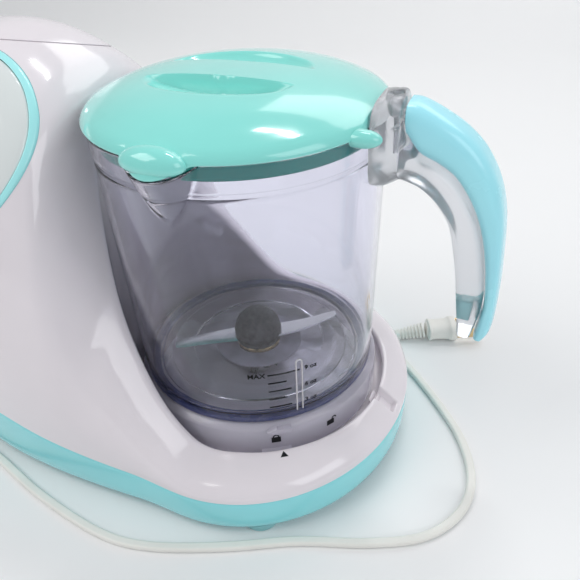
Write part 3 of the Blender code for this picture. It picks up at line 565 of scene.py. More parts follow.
def make_cord():
    """The power cord with its gland, strain relief and plug."""
    fine = spline_points(CORD_ROUTE, 9)
    outline = cord_section()
    rings = []
    run = 0.0
    total = sum((b - a).length for a, b in zip(fine, fine[1:]))
    for i, point in enumerate(fine):
        ahead = tangent(fine, i)
        side = left_of(ahead)
        down = ahead.cross(-side).normalized()
        if i:
            run += (point - fine[i - 1]).length
        lie = CORD_LIE * smooth((run - 30) / 25) * smooth((total - 6 - run) / 14)
        middle = point - Vector((0, 0, lie))
        rings.append([middle + side * a + down * b for a, b in outline])
    cord = hand_in("power_cord_lead", skin(rings), "base", "cord_pvc", ["power_cord"], 60)

    flange = [(-7, 3.9), (0.4, 3.9), (0.5, 5.8), (0.8, 6.2), (2.3, 6.2), (2.7, 5.8), (3.4, 5.0)]
    boot = [*flange, *slotted(4.2, 22.3, 5.0, 3.4)]
    gland = tapered("cord_gland_boot", GLAND_FOOT, GLAND_OUT, boot, 1, 1, "cord_gland")
    ahead = Vector((cos(PLUG_HEADING), sin(PLUG_HEADING), 0))
    tail = Vector(CORD_ROUTE[-1]) + ahead * 6 * GAP
    climb = (ahead * 17 + Vector((0, 0, 2.9))).normalized()
    relief_end = 16.5
    sleeve = [(-1.2, 2.7), (-0.9, 3.0), *slotted(0.6, 16.2, 3.05, 4.6), (relief_end, 4.5)]
    relief = tapered("plug_relief", tail, climb, sleeve, 1.05, 0.9, "plug_strain_relief")
    neck = tail + climb * relief_end + ahead * 1.2
    neck.z = 6.3
    face = 18.4
    shell = [(0, 4.0), (0.3, 4.5), (0.9, 4.7), (1.2, 6.2), (1.6, 6.6), (2.6, 6.6), (3.0, 6.2), (6.0, 6.0),
             (10.5, 6.15), (13.6, 6.5), (14.4, 7.1), (14.9, 7.3), (17.6, 7.3), (18.2, 7.0), (face, 6.6)]
    body = tapered("plug_shell", neck, ahead, shell, 1.15, 0.82, "plug_body")
    across = left_of(ahead)
    for i, sign in enumerate((-1, 1)):
        middle = neck + ahead * (face + GAP + 7.5) + across * sign * 5.6
        place = shift(middle) @ spin(PLUG_HEADING)
        prong = mesh_of("prong", block((14.8, 1.5, 6.3), place, 0.5))
        hole = middle + ahead * 4.2
        drill = rod(hole - across * 3, hole + across * 3, 1.5, 24)
        hand_in(f"plug_blade_{i + 1}", combine(prong, [drill]), "base", "brass",
                              [f"plug_prong_{i + 1}"])


# ---- housing, panel and base

def half_width(x):
    """Half the machine's width at x: an oval platform and a squarer column."""
    if x >= 0:
        return PLATFORM_R * sqrt(max(0.0, 1 - (x / PLATFORM_END) ** 2))
    neck = COLUMN_HALF_WIDTH + (PLATFORM_R - COLUMN_HALF_WIDTH) * smooth((x - SHOULDER_X) / -SHOULDER_X)
    back = clamp((SHOULDER_X - x) / (SHOULDER_X - LEFT_END))
    return neck * (1 - back**2.6) ** (1 / 2.6)


def housing_top(x, y):
    """The height of the housing's outer surface."""
    low = seam(x)
    high = max(crest_curve(x), low + 0.4)
    share = clamp(abs(y) / max(0.1, half_width(x)))
    return low + (high - low) * (1 - share**CORNER_POWER) ** (1 / CORNER_POWER)


def outline_radius(azimuth):
    """How far the machine's outline is from the jug's axis."""
    c, s = heading(azimuth)
    if c >= 0:
        return 1 / hypot(c / PLATFORM_END, s / PLATFORM_R)
    low, high = 60.0, 200.0
    for _ in range(30):
        middle = (low + high) / 2
        x, y = middle * c, middle * s
        if x > LEFT_END and abs(y) < half_width(x):
            low = middle
        else:
            high = middle
    return low


def lip_notch(x, y):
    """The depth of the small notch across the platform's lip, in line with the handle."""
    return 4.5 * smooth((4.8 - abs(y - NOTCH_Y)) / 2.4) * smooth((75.5 - x) / 4) if x > 0 else 0.0


def housing_ray(azimuth):
    """The housing's section along one azimuth, from its bore over the lip to its seam."""
    c, s = heading(azimuth)
    reach = outline_radius(azimuth)
    crossing = []
    samples = 420
    for i in range(samples):
        r = reach - (reach - RECESS_R) * (1 - i / (samples - 1)) ** 1.6
        x, y = r * c, r * s
        crossing.append(Vector((r, housing_top(x, y) - lip_notch(x, y))))
    crossing[-1].y = seam(reach * c)
    edge = crossing[0].copy()
    run = [0.0]
    for a, b in zip(crossing, crossing[1:]):
        run.append(run[-1] + (b - a).length)
    rounding = min(LIP_ROUNDING, 0.4 * (edge.y - RECESS_FLOOR))

    def at(distance):
        j = min(len(run) - 2, bisect_right(run, distance) - 1)
        return crossing[j].lerp(crossing[j + 1], (distance - run[j]) / max(1e-9, run[j + 1] - run[j]))

    points = [Vector((BORE_R, 25.9)), Vector((BORE_R, 27.0)), Vector((BORE_R + 0.5, RECESS_FLOOR))]
    points += [Vector((BORE_R + 0.5 + (61.4 - BORE_R) * k / 8, RECESS_FLOOR)) for k in range(1, 8)]
    fillet = 3
    for down, out in map(heading, range(0, 91, 18)):
        points.append(Vector((RECESS_R - fillet + fillet * out, RECESS_FLOOR + fillet - fillet * down)))
    low, high = RECESS_FLOOR + fillet, edge.y - rounding
    points += [Vector((RECESS_R, low + (high - low) * k / 16)) for k in range(1, 16)]
    points += bent(Vector((RECESS_R, high)), edge, at(rounding), 8)
    points += [at(rounding + (run[-1] - rounding) * k / SURFACE_POINTS) for k in range(1, SURFACE_POINTS + 1)]
    return [Vector((p.x * c, p.x * s, p.y)) for p in points]


def ray_azimuths():
    """Azimuths round the jug, finer across the notch in the lip and towards the column."""
    made = [(0.4 * k - 4.0) % 360 for k in range(-20, 21)]
    azimuth = 4.0
    while azimuth < 347.5:
        azimuth += 0.75 if 150 < azimuth < 210 else 1.0
        if azimuth < 347.8:
            made.append(azimuth)
    return made


def on_panel(radius, angle, lift=0.0):
    """A point of the housing's surface, found along the panel's normal, raised by lift."""
    foot = PANEL_CENTRE + PANEL_ACROSS * radius * cos(angle) + PANEL_UP * radius * sin(angle)
    low, high = PANEL_NEAR, PANEL_FAR
    for _ in range(24):
        middle = (low + high) / 2
        p = foot + PANEL_OUT * middle
        if p.z > housing_top(p.x, p.y):
            high = middle
        else:
            low = middle
    return foot + PANEL_OUT * (low + lift)


def open_panel(bm):
    """Cuts the panel's round opening, with its rim on the circle."""
    def inside(vertex):
        away = vertex.co - PANEL_CENTRE
        along = away.dot(PANEL_OUT)
        return (away - PANEL_OUT * along).length < PANEL_R and PANEL_NEAR < along < PANEL_FAR

    doomed = [f for f in bm.faces if all(inside(v) for v in f.verts)]
    bmesh.ops.delete(bm, geom=doomed, context="FACES")
    for vertex in bm.verts:
        if vertex.is_boundary and inside(vertex):
            away = vertex.co - PANEL_CENTRE
            vertex.co = on_panel(PANEL_R, atan2(away.dot(PANEL_UP), away.dot(PANEL_ACROSS)))


def make_housing():
    """The housing's shell and the tank lid, cut apart along the sloping joint."""
    rays = [housing_ray(azimuth) for azimuth in ray_azimuths()]
    rings = [[ray[k] for ray in rays] for k in range(len(rays[0]))]
    slope = Vector((0, LID_PLANE_SLOPE, 1)).normalized()
    for name, body, node, lift in (("upper_housing_shell", "base", "upper_housing", -0.25),
                                   ("tank_lid_cap", "tank_cover", "tank_lid", 0.25)):
        bm = skin(rings, caps=False)
        top = max(bm.faces, key=lambda face: face.calc_center_median().z)
        top.normal_update()
        if top.normal.z < 0:
            bmesh.ops.reverse_faces(bm, faces=bm.faces)
        bmesh.ops.bisect_plane(bm, geom=[*bm.verts, *bm.edges, *bm.faces], dist=0.0005,
                               plane_co=(0, 0, LID_PLANE_Z + lift), plane_no=slope, clear_inner=lift > 0,
                               clear_outer=lift < 0)
        if lift < 0:
            open_panel(bm)
        hand_in(name, thicken(as_mesh(name, bm), WALL), body, "white_gloss", [node])


def make_panel():
    """The panel's ring, its face and the signs on it."""
    def round_panel(profile, steps=144):
        return [[on_panel(r, tau * i / steps, lift) for i in range(steps)] for r, lift in profile]

    inner = PANEL_R - PANEL_RING
    ring = rounded(((PANEL_R - 0.3, -2.4), (PANEL_R - 0.3, 0.55), (inner, 0.45), (inner, -2.4)), 0.7)
    hand_in("panel_bezel_ring", skin(round_panel(ring), closed=True), "base", "aqua_ring", ["panel_bezel"])
    edge = inner - GAP
    face = [(0.2, -2.2), *((edge * k / 8, -2.2) for k in range(1, 9)), (edge, -0.5), (edge - 0.15, -0.1),
            (edge - 0.6, 0.0), *((edge * k / 14, 0.0) for k in range(13, 0, -1)), (0.2, 0.0)]
    hand_in("touch_panel_face", skin(round_panel(face)), "base", "panel_grey", ["touch_panel"])
    make_panel_marks()


def panel_line(points, width, closed=False):
    """A printed line on the panel through (across, up) points."""
    points = [Vector(p) for p in points]
    rings = []
    for i, point in enumerate(points):
        side = tangent(points, i, closed).orthogonal() * width / 2
        edges = [(point + side * sign, lift) for sign, lift in ((-1, -0.2), (1, -0.2), (1, 0.08), (-1, 0.08))]
        rings.append([on_panel(q.length, atan2(q.y, q.x), lift) for q, lift in edges])
    return skin(rings, closed=closed)


def arc(centre, radius, first, last, count=28):
    """Points of an arc between two angles in degrees."""
    return [(Vector((*centre, 0)) + polar(radius, first + (last - first) * k / count, 0)).xy
            for k in range(count + 1)]


def make_panel_marks():
    """Plain function signs: on and off, steam and blend, each inside its key's circle."""
    power, steam, blend = (0, 18), (-15, -8), (15, -8)
    lines = [panel_line(arc(centre, 8.5, 0, 347.6), 0.5, closed=True) for centre in (power, steam, blend)]
    lines.append(panel_line(arc(power, 3.6, 125, 415), 0.8))
    lines.append(panel_line([(0, 18.5), (0, 20), (0, 22.6)], 0.8))
    for k in (-1, 0, 1):
        wisp = [(steam[0] + 2.6 * k + 0.8 * sin(t * 0.9), -12 + t) for t in range(9)]
        lines.append(panel_line(wisp, 0.7))
    for first in (90, 210, 330):
        c, s = heading(first)
        centre = (blend[0] + 2 * c, blend[1] + 2 * s)
        lines.append(panel_line(arc(centre, 2.2, first - 60, first + 110, 12), 0.8))
    hand_in("panel_signs", joined("panel_signs", *lines), "base", "print")


def plan_outline(inset, count=300):
    """The machine's outline in plan, moved in by inset: points all the way round."""
    points = [polar(outline_radius(360 * k / count), 360 * k / count, 0) for k in range(count)]
    return [p + left_of(tangent(points, i, True)) * inset for i, p in enumerate(points)]


def make_tray():
    """The aqua tray with its vents and screw wells, the feet and the case screws."""
    def ring(inset, z):
        return [Vector((p.x, p.y, z)) for p in plan_outline(inset)]

    def brim(inset, drop):
        return [Vector((p.x, p.y, seam(p.x) - GAP - drop)) for p in plan_outline(inset)]

    rings = [ring(8, TRAY_BOTTOM), ring(3.4, TRAY_BOTTOM), ring(2.4, 4.8), ring(1.7, 5.5), ring(1.2, 6.6),
             ring(0.8, 8.5), ring(0.5, 11), ring(0.3, 14), brim(0.1, 6), brim(0.05, 2.5), brim(0.1, 0.7),
             brim(0.35, 0.2), brim(0.8, 0.0), brim(2.0, 0.0), brim(2.5, 0.4), ring(4.0, 9), ring(6.0, 7.0)]
    tray = mesh_of("base_tray_shell", skin(rings))
    well = ((3.4, 3), (3.4, 6.3), (1.9, 6.35), (1.9, 9))
    cutters = [turned(well, 32, (x, y, 0), False) for x, y in SCREW_PLACES]
    cutters += [block((3.2, 24, 8), shift((-84 - 7 * k, y, 5)), 0.8)
                for k in range(7) for y in (-16, 16)]
    cutters += [rod((x, y, 2), (x, y, 9), 2.3, 24) for x, y in FOOT_PLACES]
    hand_in("base_tray_shell", combine(tray, cutters), "base", "aqua_gloss", ["base_tray"])

    profile = rounded(((2.0, 6.6), (2.0, 4.25), (9.0, 4.25), (9.3, 2.4), (8.4, 0.0), (4.4, 0.0), (4.0, 0.8),
                       (0.4, 0.8), (0.4, 6.6)), 0.7)
    for i, (x, y) in enumerate(FOOT_PLACES):
        hand_in(f"foot_pad_{i + 1}", turned(profile, 64, (x, y, 0)), "base", "foot_rubber",
                [f"rubber_foot_{i + 1}"])
    for i, (x, y) in enumerate(SCREW_PLACES):
        end_z = seam(x) + (5.5 if x > 0 else 11)
        make_screw(f"case_screw_{i + 1}", (x, y), 6.4, 8.7, end_z, 3.0, 1.5, "base",
                   [f"housing_screw_{i + 1}"], up=False)


def make_screw(name, at, head_z, neck_z, end_z, head_r, shank_r, body, nodes, up=True):
    """A cross-head screw with a domed head and a shank with rolled thread ridges."""
    sign = -1 if up else 1
    profile = [(0.02, head_z), (head_r * 0.6, head_z + 0.1 * sign), (head_r * 0.92, head_z + 0.6 * sign),
               (head_r, head_z + 1.1 * sign), (head_r, neck_z), (shank_r, neck_z)]
    pitch = 1.4
    for k in range(int(abs(end_z - neck_z) / pitch)):
        z = neck_z + sign * (0.6 + pitch * k)
        profile += [(shank_r * 0.8, z), (shank_r, z + 0.45 * sign), (shank_r * 0.8, z + 0.9 * sign)]
    profile.append((0.02, end_z))
    place = shift((*at, head_z))
    turns = [place @ spin(turn) for turn in (0.4, 0.4 + pi / 2)]
    cross = [block((head_r * 1.25, head_r * 0.28, 2.0), turn) for turn in turns]
    screw = mesh_of(name, turned(profile, 40, (*at, 0), closed=False))
    hand_in(name, combine(screw, cross), body, "steel", nodes)


# ---- jug, marks, blade

def spout_window(azimuth, width=1.0):
    """The spout's round trough: 1 on its middle line, 0 from its creases outwards."""
    away = turn_away(azimuth, SPOUT_AZIMUTH) / (SPOUT_HALF_ANGLE * max(0.02, width))
    return (1 - away**2) ** 1.15 if abs(away) < 1 else 0.0


def jug_point(r, azimuth, z):
    """A point of the jug's wall, pushed out in the spout, which narrows to a tip lower down."""
    rise = clamp((z - SPOUT_LOW) / (JUG_RIM - SPOUT_LOW))
    push = rise**0.8 * spout_window(azimuth, rise**0.55)
    return polar(r + SPOUT_REACH * push, azimuth, z - SPOUT_DROP * push * rise)


def make_jug():
    """The jug: wall with spout and stepped floor, collar, floor seal, a navy band of painted shade in its
    foot, disc, rib and marks.
    """
    def moulded_step(z):
        """The rim band stands a little proud, with a fine line under it."""
        return 0.35 * smooth((z - 161.2) / 0.8) - 0.25 * max(0.0, 1 - abs(z - 159.4) / 0.6)

    levels = {159.0, 159.4, 159.8, 160.4, 161.2, 161.4, 161.6, 161.8, 162.0,
              *(46.8 + 1.6 * k for k in range(70)), *(149.2 + 0.7 * k for k in range(32))}
    outer = [(jug_radius(z) + moulded_step(z), z) for z in sorted(levels) if z < 171.6]
    inner = [(jug_radius(z) - JUG_WALL, z) for z in range(170, 54, -2)]
    rim = jug_radius(JUG_RIM)
    corner = [(rim + 0.2, 171.7), (rim, 172.1), (rim - 0.4, JUG_RIM), (rim - 2.0, JUG_RIM),
              (rim - 2.4, 172.0), (rim - JUG_WALL, 171.5)]
    floor = [(51.4 + 4.2 * c, 53.0 - 4.2 * s) for c, s in map(heading, range(0, 91, 15))]
    steps = [(50.6, 48.8), (50.2, 48.5), (49.8, 48.1), (45.2, 48.1), (44.8, 48.5), (44.2, 48.7),
             (34.2, 48.7), (33.6, 48.5), (33.2, 48.1), (14.0, 48.1), (13.6, 47.9), (8.6, 47.9)]
    foot = [*((r, JUG_FLOOR_LOW) for r in (8.6, 20, 40, 56.0)), (57.0, 45.5), (57.6, 46.1)]
    around = [1.5 * i for i in range(240) if abs(turn_away(1.5 * i, SPOUT_AZIMUTH)) > SPOUT_HALF_ANGLE + 1]
    around += [(SPOUT_AZIMUTH + 0.5 * i) % 360 for i in range(-32, 33)]
    around.sort()
    rings = [[jug_point(r, azimuth, z) for azimuth in around]
             for r, z in (*foot, *outer, *corner, *inner, *floor, *steps)]
    hand_in("jug_vessel", skin(rings, closed=True), "jug", "clear_tritan", ["jug_body"], 30)

    skirt = rounded(((57.8, 45.0), (60.4, 43.0), (60.5, 28.0), (55.6, 28.0), (55.6, 41.0), (52.4, 41.0),
                     (52.4, 43.0), (55.6, 43.0), (55.6, 45.0)), 0.9)
    collar = joined("jug_collar_ring", turned(skirt, 180), *map(collar_lug, (-60, 60, 180)), collar_arrow())
    hand_in("jug_collar_ring", collar, "jug", "clear_collar", ["jug_collar"])
    turned_piece("jug_floor_seal", ((52.6, 45.0), (52.6, 43.35), (55.2, 43.35), (55.2, 45.0)), 0.4, 180,
                 "jug", "navy_seal", ["jug_floor_gasket"])
    # A navy band inside the glass of the jug's foot, on no part: painted shade, standing in for the dark
    # refraction of the shaded recess wall through the floor's corner.
    turned_piece("jug_foot_shade_band", ((51.6, 45.8), (56.3, 45.8), (56.3, 47.9), (51.6, 47.9)), 0.5, 180,
                 "jug", "navy_seal")
    turned_piece("jug_floor_disc", ((22.0, 49.0), (22.0, 48.25), (11.6, 48.25), (11.6, 49.0)), 0.25, 120,
                 "jug", "hazed_floor")
    # The rib's whitish, half-clear finish is painted highlight on a rib that is clear like the jug.
    hand_in("jug_rib", jug_rib(), "jug", "rib_painted_highlight")
    make_marks()


def collar_lug(azimuth):
    """A bayonet lug bent round the collar, with rounded corners and ends."""
    inner, outer, width, low, high = 60.3, 62.9, 14, 28.8, 31.4
    root, middle = inner - 0.6, (low + high) / 2
    section = rounded(((root, low), (root, high), (outer, high), (outer, low)), 0.5, 3)
    half = degrees(width / 2 / inner)
    rings = []
    for k in range(13):
        share = k / 6 - 1
        shrink = 1 - 0.35 * max(0.0, abs(share) - 0.85) / 0.15
        turn = azimuth + half * share
        rings.append([polar(root + (r - root) * shrink, turn, middle + (z - middle) * shrink)
                      for r, z in section])
    return skin(rings)


def collar_arrow():
    """The raised arrow on the collar that points to the marks on the lip."""
    outline = ((-6.2, 0), (-1.6, 2.7), (-1.6, 1.5), (5.0, 1.5), (5.0, -1.5), (-1.6, -1.5), (-1.6, -2.7))
    return skin([[polar(r, ARROW_AZIMUTH + degrees(u * size / COLLAR_R), 43.0 + 0.7 * v * size)
                  for u, v in outline] for r, size in ((59.6, 1.0), (62.0, 1.0), (62.3, 0.9))])


def jug_rib():
    """The tall arch moulded on the jug's side beside the scale: a thin raised line."""
    half, low, high = 1.35, 50.5, 79.0
    climb = [low + (high - low) * k / 20 for k in range(21)]
    top = [(-half * c, high + half * s) for c, s in map(heading, range(18, 163, 18))]
    path = [Vector(p) for p in (*((-half, z) for z in climb), *top, *((half, z) for z in reversed(climb)))]
    rings = []
    for i, (u, z) in enumerate(path):
        side = tangent(path, i).orthogonal() * 0.36
        ring = []
        for sign, lift in ((-1, -0.2), (-0.7, 0.4), (0, 0.6), (0.7, 0.4), (1, -0.2)):
            height = z + side.y * sign
            ring.append(polar(jug_radius(height) + lift,
                              RIB_AZIMUTH + degrees((u + side.x * sign) / WALL_BEND_R), height))
        rings.append(ring)
    return skin(rings)


def on_wall(flat, azimuth, z, radius_at=jug_radius, lift=PRINT_LIFT):
    """Bends a flat bmesh, drawn in (right, up) with its thickness along Z, round the jug's wall."""
    for vertex in flat.verts:
        u, v, w = vertex.co
        vertex.co = polar(radius_at(z + v) + lift + w, azimuth + degrees(u / WALL_BEND_R), z + v)
    return flat


def plate(outline, thickness=0.12):
    """A flat sign of one outline."""
    return skin([[(u, v, w) for u, v in outline] for w in (0, thickness)])


def lettering(text, size, weight=0.09, thickness=0.12):
    """Plain text as a closed flat bmesh, from its lower left corner."""
    font = bpy.data.curves.new("lettering", "FONT")
    font.body = text
    font.size = size
    font.extrude = thickness / 2
    font.offset = weight
    font.resolution_u = 4
    mesh = evaluated(new_object("lettering", font))
    bm = bmesh.new()
    bm.from_mesh(mesh)
    bpy.data.meshes.remove(mesh)
    bmesh.ops.remove_doubles(bm, verts=bm.verts, dist=0.001)
    bm.transform(shift((0, 0, thickness / 2)))
    return bm


def padlock(open_shackle):
    """The two bmeshes of a plain padlock sign: a body and a shackle, swung aside when open."""
    aside = 1.5 if open_shackle else 0.0
    body = plate([(-1.5, -1.9), (1.5, -1.9), (1.5, 0.4), (-1.5, 0.4)])
    shackle = [(aside + 1.05 * c, 0.5 + 1.1 * s) for c, s in map(heading, range(0, 181, 15))]
    inner = [(aside + (u - aside) * 0.58, 0.5 + (v - 0.5) * 0.62) for u, v in reversed(shackle)]
    return body, plate(shackle + inner)


def make_marks():
    """The volume scale on the jug, the locked and unlocked signs on its collar, the pointer on the lip."""
    levels = [SCALE_LOW + SCALE_STEP * k for k in range(len(SCALE_LENGTHS))]
    marks = []
    for level, length in zip(levels, SCALE_LENGTHS):
        tick = plate([(0, -0.38), (length, -0.38), (length, 0.38), (0, 0.38)])
        bmesh.ops.subdivide_edges(tick, edges=tick.edges, cuts=2)
        marks.append(on_wall(tick, SCALE_LEFT, level))
    top = on_wall(lettering("MAX", 3.5), SCALE_LEFT, levels[4] - 1.1)
    top.transform(spin(radians(-8.4)))
    marks.append(top)
    for text, level in (("9 oz", levels[4]), ("6 oz", levels[2]), ("3 oz", levels[0])):
        marks.append(on_wall(lettering(text, 3.4, 0.06), OUNCE_AZIMUTH, level - 1.0))
    hand_in("jug_scale", joined("jug_scale", *marks), "jug", "print")

    signs = []
    for is_open, size, azimuth, z in ((False, 1.4, LOCKED_AZIMUTH, 37.6),
                                      (True, 1.3, UNLOCKED_AZIMUTH, 37.4)):
        for sign in padlock(is_open):
            sign.transform(Matrix.Diagonal((size, size, 1, 1)))
            signs.append(on_wall(sign, azimuth, z, lambda _: COLLAR_R, 0.02))
    hand_in("jug_lock_signs", joined("jug_lock_signs", *signs), "jug", "print")
    pointer = []
    for lift in (-0.4, 0.12):
        ring = [polar(r, ARROW_AZIMUTH + away, 0) for r, away in ((66.4, 0.0), (69.3, -1.5), (69.3, 1.5))]
        for p in ring:
            p.z = housing_top(p.x, p.y) - rim_drop(p.length) + lift
        pointer.append(ring)
    hand_in("lip_pointer", skin(pointer), "base", "print")


def rim_drop(r):
    """How far the lip's rounding lies under the housing's plain surface."""
    t = clamp((r - RECESS_R) / LIP_ROUNDING)
    return LIP_ROUNDING * 0.25 * (1 - sqrt(t)) ** 2 if t < 1 else 0.0


def blade_wings():
    """Two wings with swept, lifted tips and a ground edge on each leading side."""
    reach, low, rise, turn = 42.0, 52.8, 2.0, radians(207.0)
    rings = []
    for k in range(-24, 25):
        s = k / 24
        x = reach * s
        chord = 13.0 - 7.5 * abs(s) - 1.6 * smooth((abs(s) - 0.9) / 0.1)
        sweep = 7.0 * s * abs(s)
        z = low + rise * max(0.0, abs(s) - 0.3) ** 1.3 / 0.63
        back, front = sweep - chord / 2, sweep + chord / 2
        bevel_front, bevel_back = (2.6, 0.35) if s >= 0 else (0.35, 2.6)
        rings.append([(x, back, z + 0.12), (x, back + 0.12, z), (x, front - 0.12, z), (x, front, z + 0.12),
                      (x, front, z + 0.3), (x, front - bevel_front, z + 1.2),
                      (x, back + bevel_back, z + 1.2), (x, back, z + 0.3)])
    mesh = mesh_of("blade_wings_ground", skin(rings), 14)
    mesh.transform(spin(turn))
    return combine(mesh, [rod((0, 0, low - 4), (0, 0, low + 12), SHAFT_R + 0.35, 40)])


def make_blade():
    """The bush in the jug's floor, and the hub, wings and cap that turn in it."""
    bore = SHAFT_R + 0.35
    bush = ((11.0, 50.1), (11.0, 48.4), (8.1, 48.4), (8.1, 43.6), (bore, 43.6), (bore, 50.1))
    turned_piece("blade_bush_turned", bush, 0.35, 96, "jug", "brass", ["blade_bush"])
    hub = ((10.8, 52.3), (11.4, 51.8), (11.4, 50.7), (bore, 50.7), (bore, 52.3))
    turned_piece("blade_hub_moulded", hub, 0.4, 96, "blade", "dark_plastic", ["blade_hub"])
    hand_in("blade_wings_ground", blade_wings(), "blade", "steel", ["blade_wings"])
    cap = [(0.02, 67.0), (2.8, 66.85), (5.4, 66.1), (7.9, 64.7), (9.8, 62.6), (11.0, 60.2), (11.5, 58.2),
           (11.6, 57.0), (11.95, 56.7), (11.95, 54.7), (11.6, 54.45), (bore, 54.45), (bore, 62.0),
           (0.02, 62.0)]
    hand_in("blade_cap_moulded", turned(cap, closed=False), "blade", "dark_plastic", ["blade_cap"])


# ---- handle and lid

def strut(path, steps=7, around=44, power=0.5):
    """A bar with rounded corners, between the upper and lower edges of its side view."""
    rings = []
    for ux, uz, lx, lz, wide in spline_points(path, steps):
        middle = Vector(((ux + lx) / 2, 0, (uz + lz) / 2))
        half = Vector(((ux - lx) / 2, 0, (uz - lz) / 2))
        rings.append([middle + half * fatten(c, power) + Vector((0, wide * fatten(s, power), 0))
                      for c, s in (heading(360 * (i + 0.5) / around) for i in range(around))])
    return rings


def rounded_ends(rings, reach=2.6):
    """Adds shrinking rings past both ends, so that a bar ends in a soft corner."""
    def cap(ring, neighbour):
        middle = sum(ring, Vector()) / len(ring)
        ahead = (middle - sum(neighbour, Vector()) / len(neighbour)).normalized()
        return [[middle + (p - middle) * (0.7 + 0.3 * c) + ahead * reach * (s - 1) for p in ring]
                for c, s in map(heading, range(18, 91, 18))]

    return [*reversed(cap(rings[0], rings[1])), *rings[1:-1], *cap(rings[-1], rings[-2])]


def make_handle():
    """The handle's clear frame, its grip, the screw in its root and the clip."""
    root_x = 66
    bar = mesh_of("handle_frame_bar", skin(strut(FRAME_STATIONS)))
    jug_side = ((0.02, LID_BOTTOM), (62.6, LID_BOTTOM), (61.8, 140), (0.02, 140))
    shaft = ((0.02, 190), (3.3, 190), (3.3, 174), (2.0, 174), (2.0, 160), (0.02, 160))
    cutters = [turned(jug_side, 180, closed=False), turned(shaft, 40, (root_x, 0, 0), closed=False),
               block((6, 60, 1.0), shift((70.4, 0, 172.6)), 0.3)]
    hand_in("handle_frame_bar", combine(bar, cutters), "jug", "frosted_frame", ["handle_frame"])
    grip = skin(rounded_ends(strut(GRIP_STATIONS, power=0.62)))
    hand_in("handle_grip_shell", grip, "jug", "grip_blue", ["handle_grip"], 50)
    make_screw("handle_root_screw", (root_x, 0), 176.4, 174.3, 161, 3.0, 1.7, "jug", ["handle_screw"])
    lean = shift((101.5, 0, 93)) @ spin(radians(4), "Y")
    hand_in("handle_clip", block((5.0, 8.0, 10.0), lean, 0.8), "jug", "aqua_gloss")


def cover_bulge(azimuth):
    """How far the lid's cover over the spout stands out, from 0 to 1."""
    share = turn_away(azimuth, SPOUT_AZIMUTH) / COVER_HALF_ANGLE
    return cos(pi / 2 * share) ** 1.1 if abs(share) < 1 else 0.0


def lid_reach(azimuth):
    """The lid's outline: round, cut straight at its tail, with the spout's cover."""
    c, _ = heading(azimuth)
    reach = LID_R
    if c > 0 and reach * c > LID_TAIL_X:
        reach = LID_TAIL_X / c
    bulge = cover_bulge(azimuth)
    return max(reach, 61.6 + COVER_REACH * bulge) if bulge else reach


def soft_max(a, b, k):
    """The larger of two heights, with a blend about k wide where they meet."""
    high = max(a, b)
    return high + k * log(exp((a - high) / k) + exp((b - high) / k))


def lid_top(r, azimuth):
    """The height of the lid's upper surface."""
    x, y, _ = polar(r, azimuth, 0)
    z = dome_height(min(r, LID_R))
    bulge = cover_bulge(azimuth)
    if bulge > 0.01 and r > 50:
        low = LID_BOTTOM - SPOUT_DROP * bulge
        share = clamp((r - 56) / (5.6 + COVER_REACH * bulge))
        hood = low + (7.6 * bulge + 1.4) * sqrt(1 - share**2.4)
        z = soft_max(z if r < LID_R else low - 3 * (r - LID_R), hood, 0.35)
    away = ((x + 3) / SCOOP_HALF[0]) ** 2 + ((abs(y) - SCOOP_EDGE) / SCOOP_HALF[1]) ** 2
    if away < 1.35:
        bowl = SCOOP_TOP - SCOOP_DEPTH * sqrt(1 - away) if away < 1 else SCOOP_TOP + 14.0 * (away - 1)
        dug = -soft_max(-z, -bowl, 0.3)
        z += (dug - z) * smooth((abs(y) - SCOOP_EDGE + SCOOP_SOFT) / (2 * SCOOP_SOFT))
    return z


def lid_azimuths(r):
    """Azimuths of one ring, with lines that follow the straight edges of the two scoops."""
    reach = max(r, SCOOP_EDGE + SCOOP_SOFT + 0.15)
    lines = (-SCOOP_SOFT, -0.3, 0.3, SCOOP_SOFT)
    edges = [degrees(asin((SCOOP_EDGE + line) / reach)) for line in lines]
    stops = [-edges[0]]
    for base in (0, 180):
        stops += [*(base + e for e in edges), *(base + 180 - e for e in reversed(edges))]
    counts = [44, 1, 2, 1, 76, 1, 2, 1] * 2
    made = []
    for a, b, count in zip(stops, stops[1:], counts):
        made += [a + (b - a) * k / count for k in range(count)]
    return made


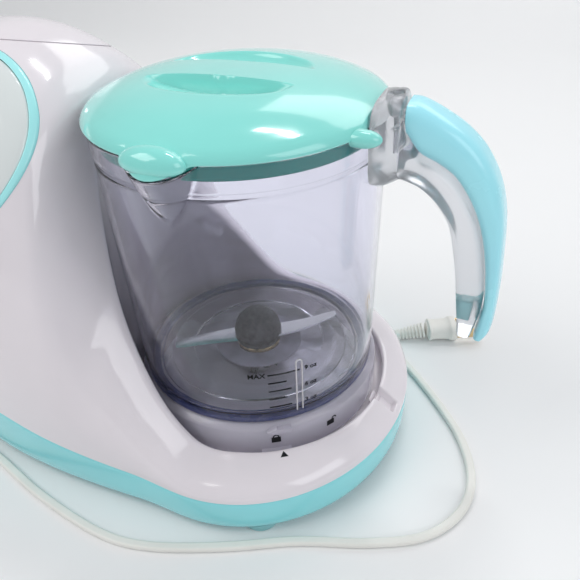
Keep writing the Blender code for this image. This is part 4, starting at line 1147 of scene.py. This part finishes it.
def make_lid():
    """The lid with its thumb tab, spout cover, skirt and seal."""
    radii = [0.4, *(1.6 * k for k in range(1, 6)), *(8.8 + 0.45 * k for k in range(33)),
             *(23.6 + 0.72 * k for k in range(46))]
    rings = [[polar(r, a, lid_top(r, a)) for a in lid_azimuths(r)] for r in radii]
    start = radii[-1]
    azimuths = lid_azimuths(LID_R)
    ends = [lid_reach(a) - 0.5 for a in azimuths]
    for share in (0.2, 0.4, 0.6, 0.75, 0.87, 0.95):
        reaches = [start + (end - start) * share / 0.95 for end in ends]
        rings.append([polar(r, a, lid_top(r, a)) for r, a in zip(reaches, azimuths)])
    for inset, lift in ((0.12, 1.3), (0.0, 0.8), (0.0, 0.4), (0.2, 0.08), (0.6, 0.0), (3.6, 0.0)):
        heights = [min(LID_BOTTOM - SPOUT_DROP * cover_bulge(a) + lift, lid_top(end, a) - 0.1)
                   for end, a in zip(ends, azimuths)]
        rings.append([polar(end + 0.5 - inset, a, z) for end, a, z in zip(ends, azimuths, heights)])
    ceiling = ((58.9, 174.3), (57.5, 174.7), (52, 175.9), (46, 176.6), (38, 177.1), (30, 177.4), (12, 177.7),
               (0.4, 177.8))
    rings += [[polar(r, a, z) for a in azimuths] for r, z in ceiling]
    hand_in("lid_dome", skin(rings), "jug_lid", "mint_gloss", ["lid_shell"], 50)

    tab = ellipsoid((59.6, -24.6, 172.9), (7.7, 4.2, 3.4), 64)
    nearest = 63.0
    for vertex in tab.verts:
        away = vertex.co.xy.length
        if away < nearest:
            vertex.co.xy *= nearest / away
    hand_in("lid_thumb_tab", tab, "jug_lid", "mint_gloss")
    nose = ellipsoid((0, 0, 0), (6.5, 13.2, 6.3), 72)
    for vertex in nose.verts:
        vertex.co.z *= 1.0 if vertex.co.z > 0 else 0.62
    turn = spin(radians(SPOUT_AZIMUTH))
    nose.transform(turn @ shift((LID_R, 0, 172.6)))
    hand_in("lid_spout_cover", nose, "jug_lid", "mint_gloss")
    skirt = ((58.4, 172.3), (58.6, 166.4), (58.0, 165.2), (56.5, 165.2), (56.5, 172.3))
    turned_piece("lid_skirt", skirt, 0.5, 180, "jug_lid", "skirt_green", ["lid_inner_ring"])
    seal = ((58.9, 173.7), (58.9, 172.6), (57.0, 172.6), (57.0, 173.7))
    turned_piece("lid_seal", seal, 0.3, 120, "jug_lid", "silicone", ["lid_gasket"])


def dress_inner_parts():
    """Gives every node that keeps its own shape its procedural finish."""
    for entry in frame["record"]["subparts"]:
        node = frame["nodes"][entry["node"]]
        for material_slot in node.material_slots:
            material_slot.material = FINISHES[entry["material_slot"]]


FINISHES = make_materials()
make_camera()
make_studio()
make_cord()
make_housing()
make_panel()
make_tray()
make_jug()
make_blade()
make_handle()
make_lid()
dress_inner_parts()
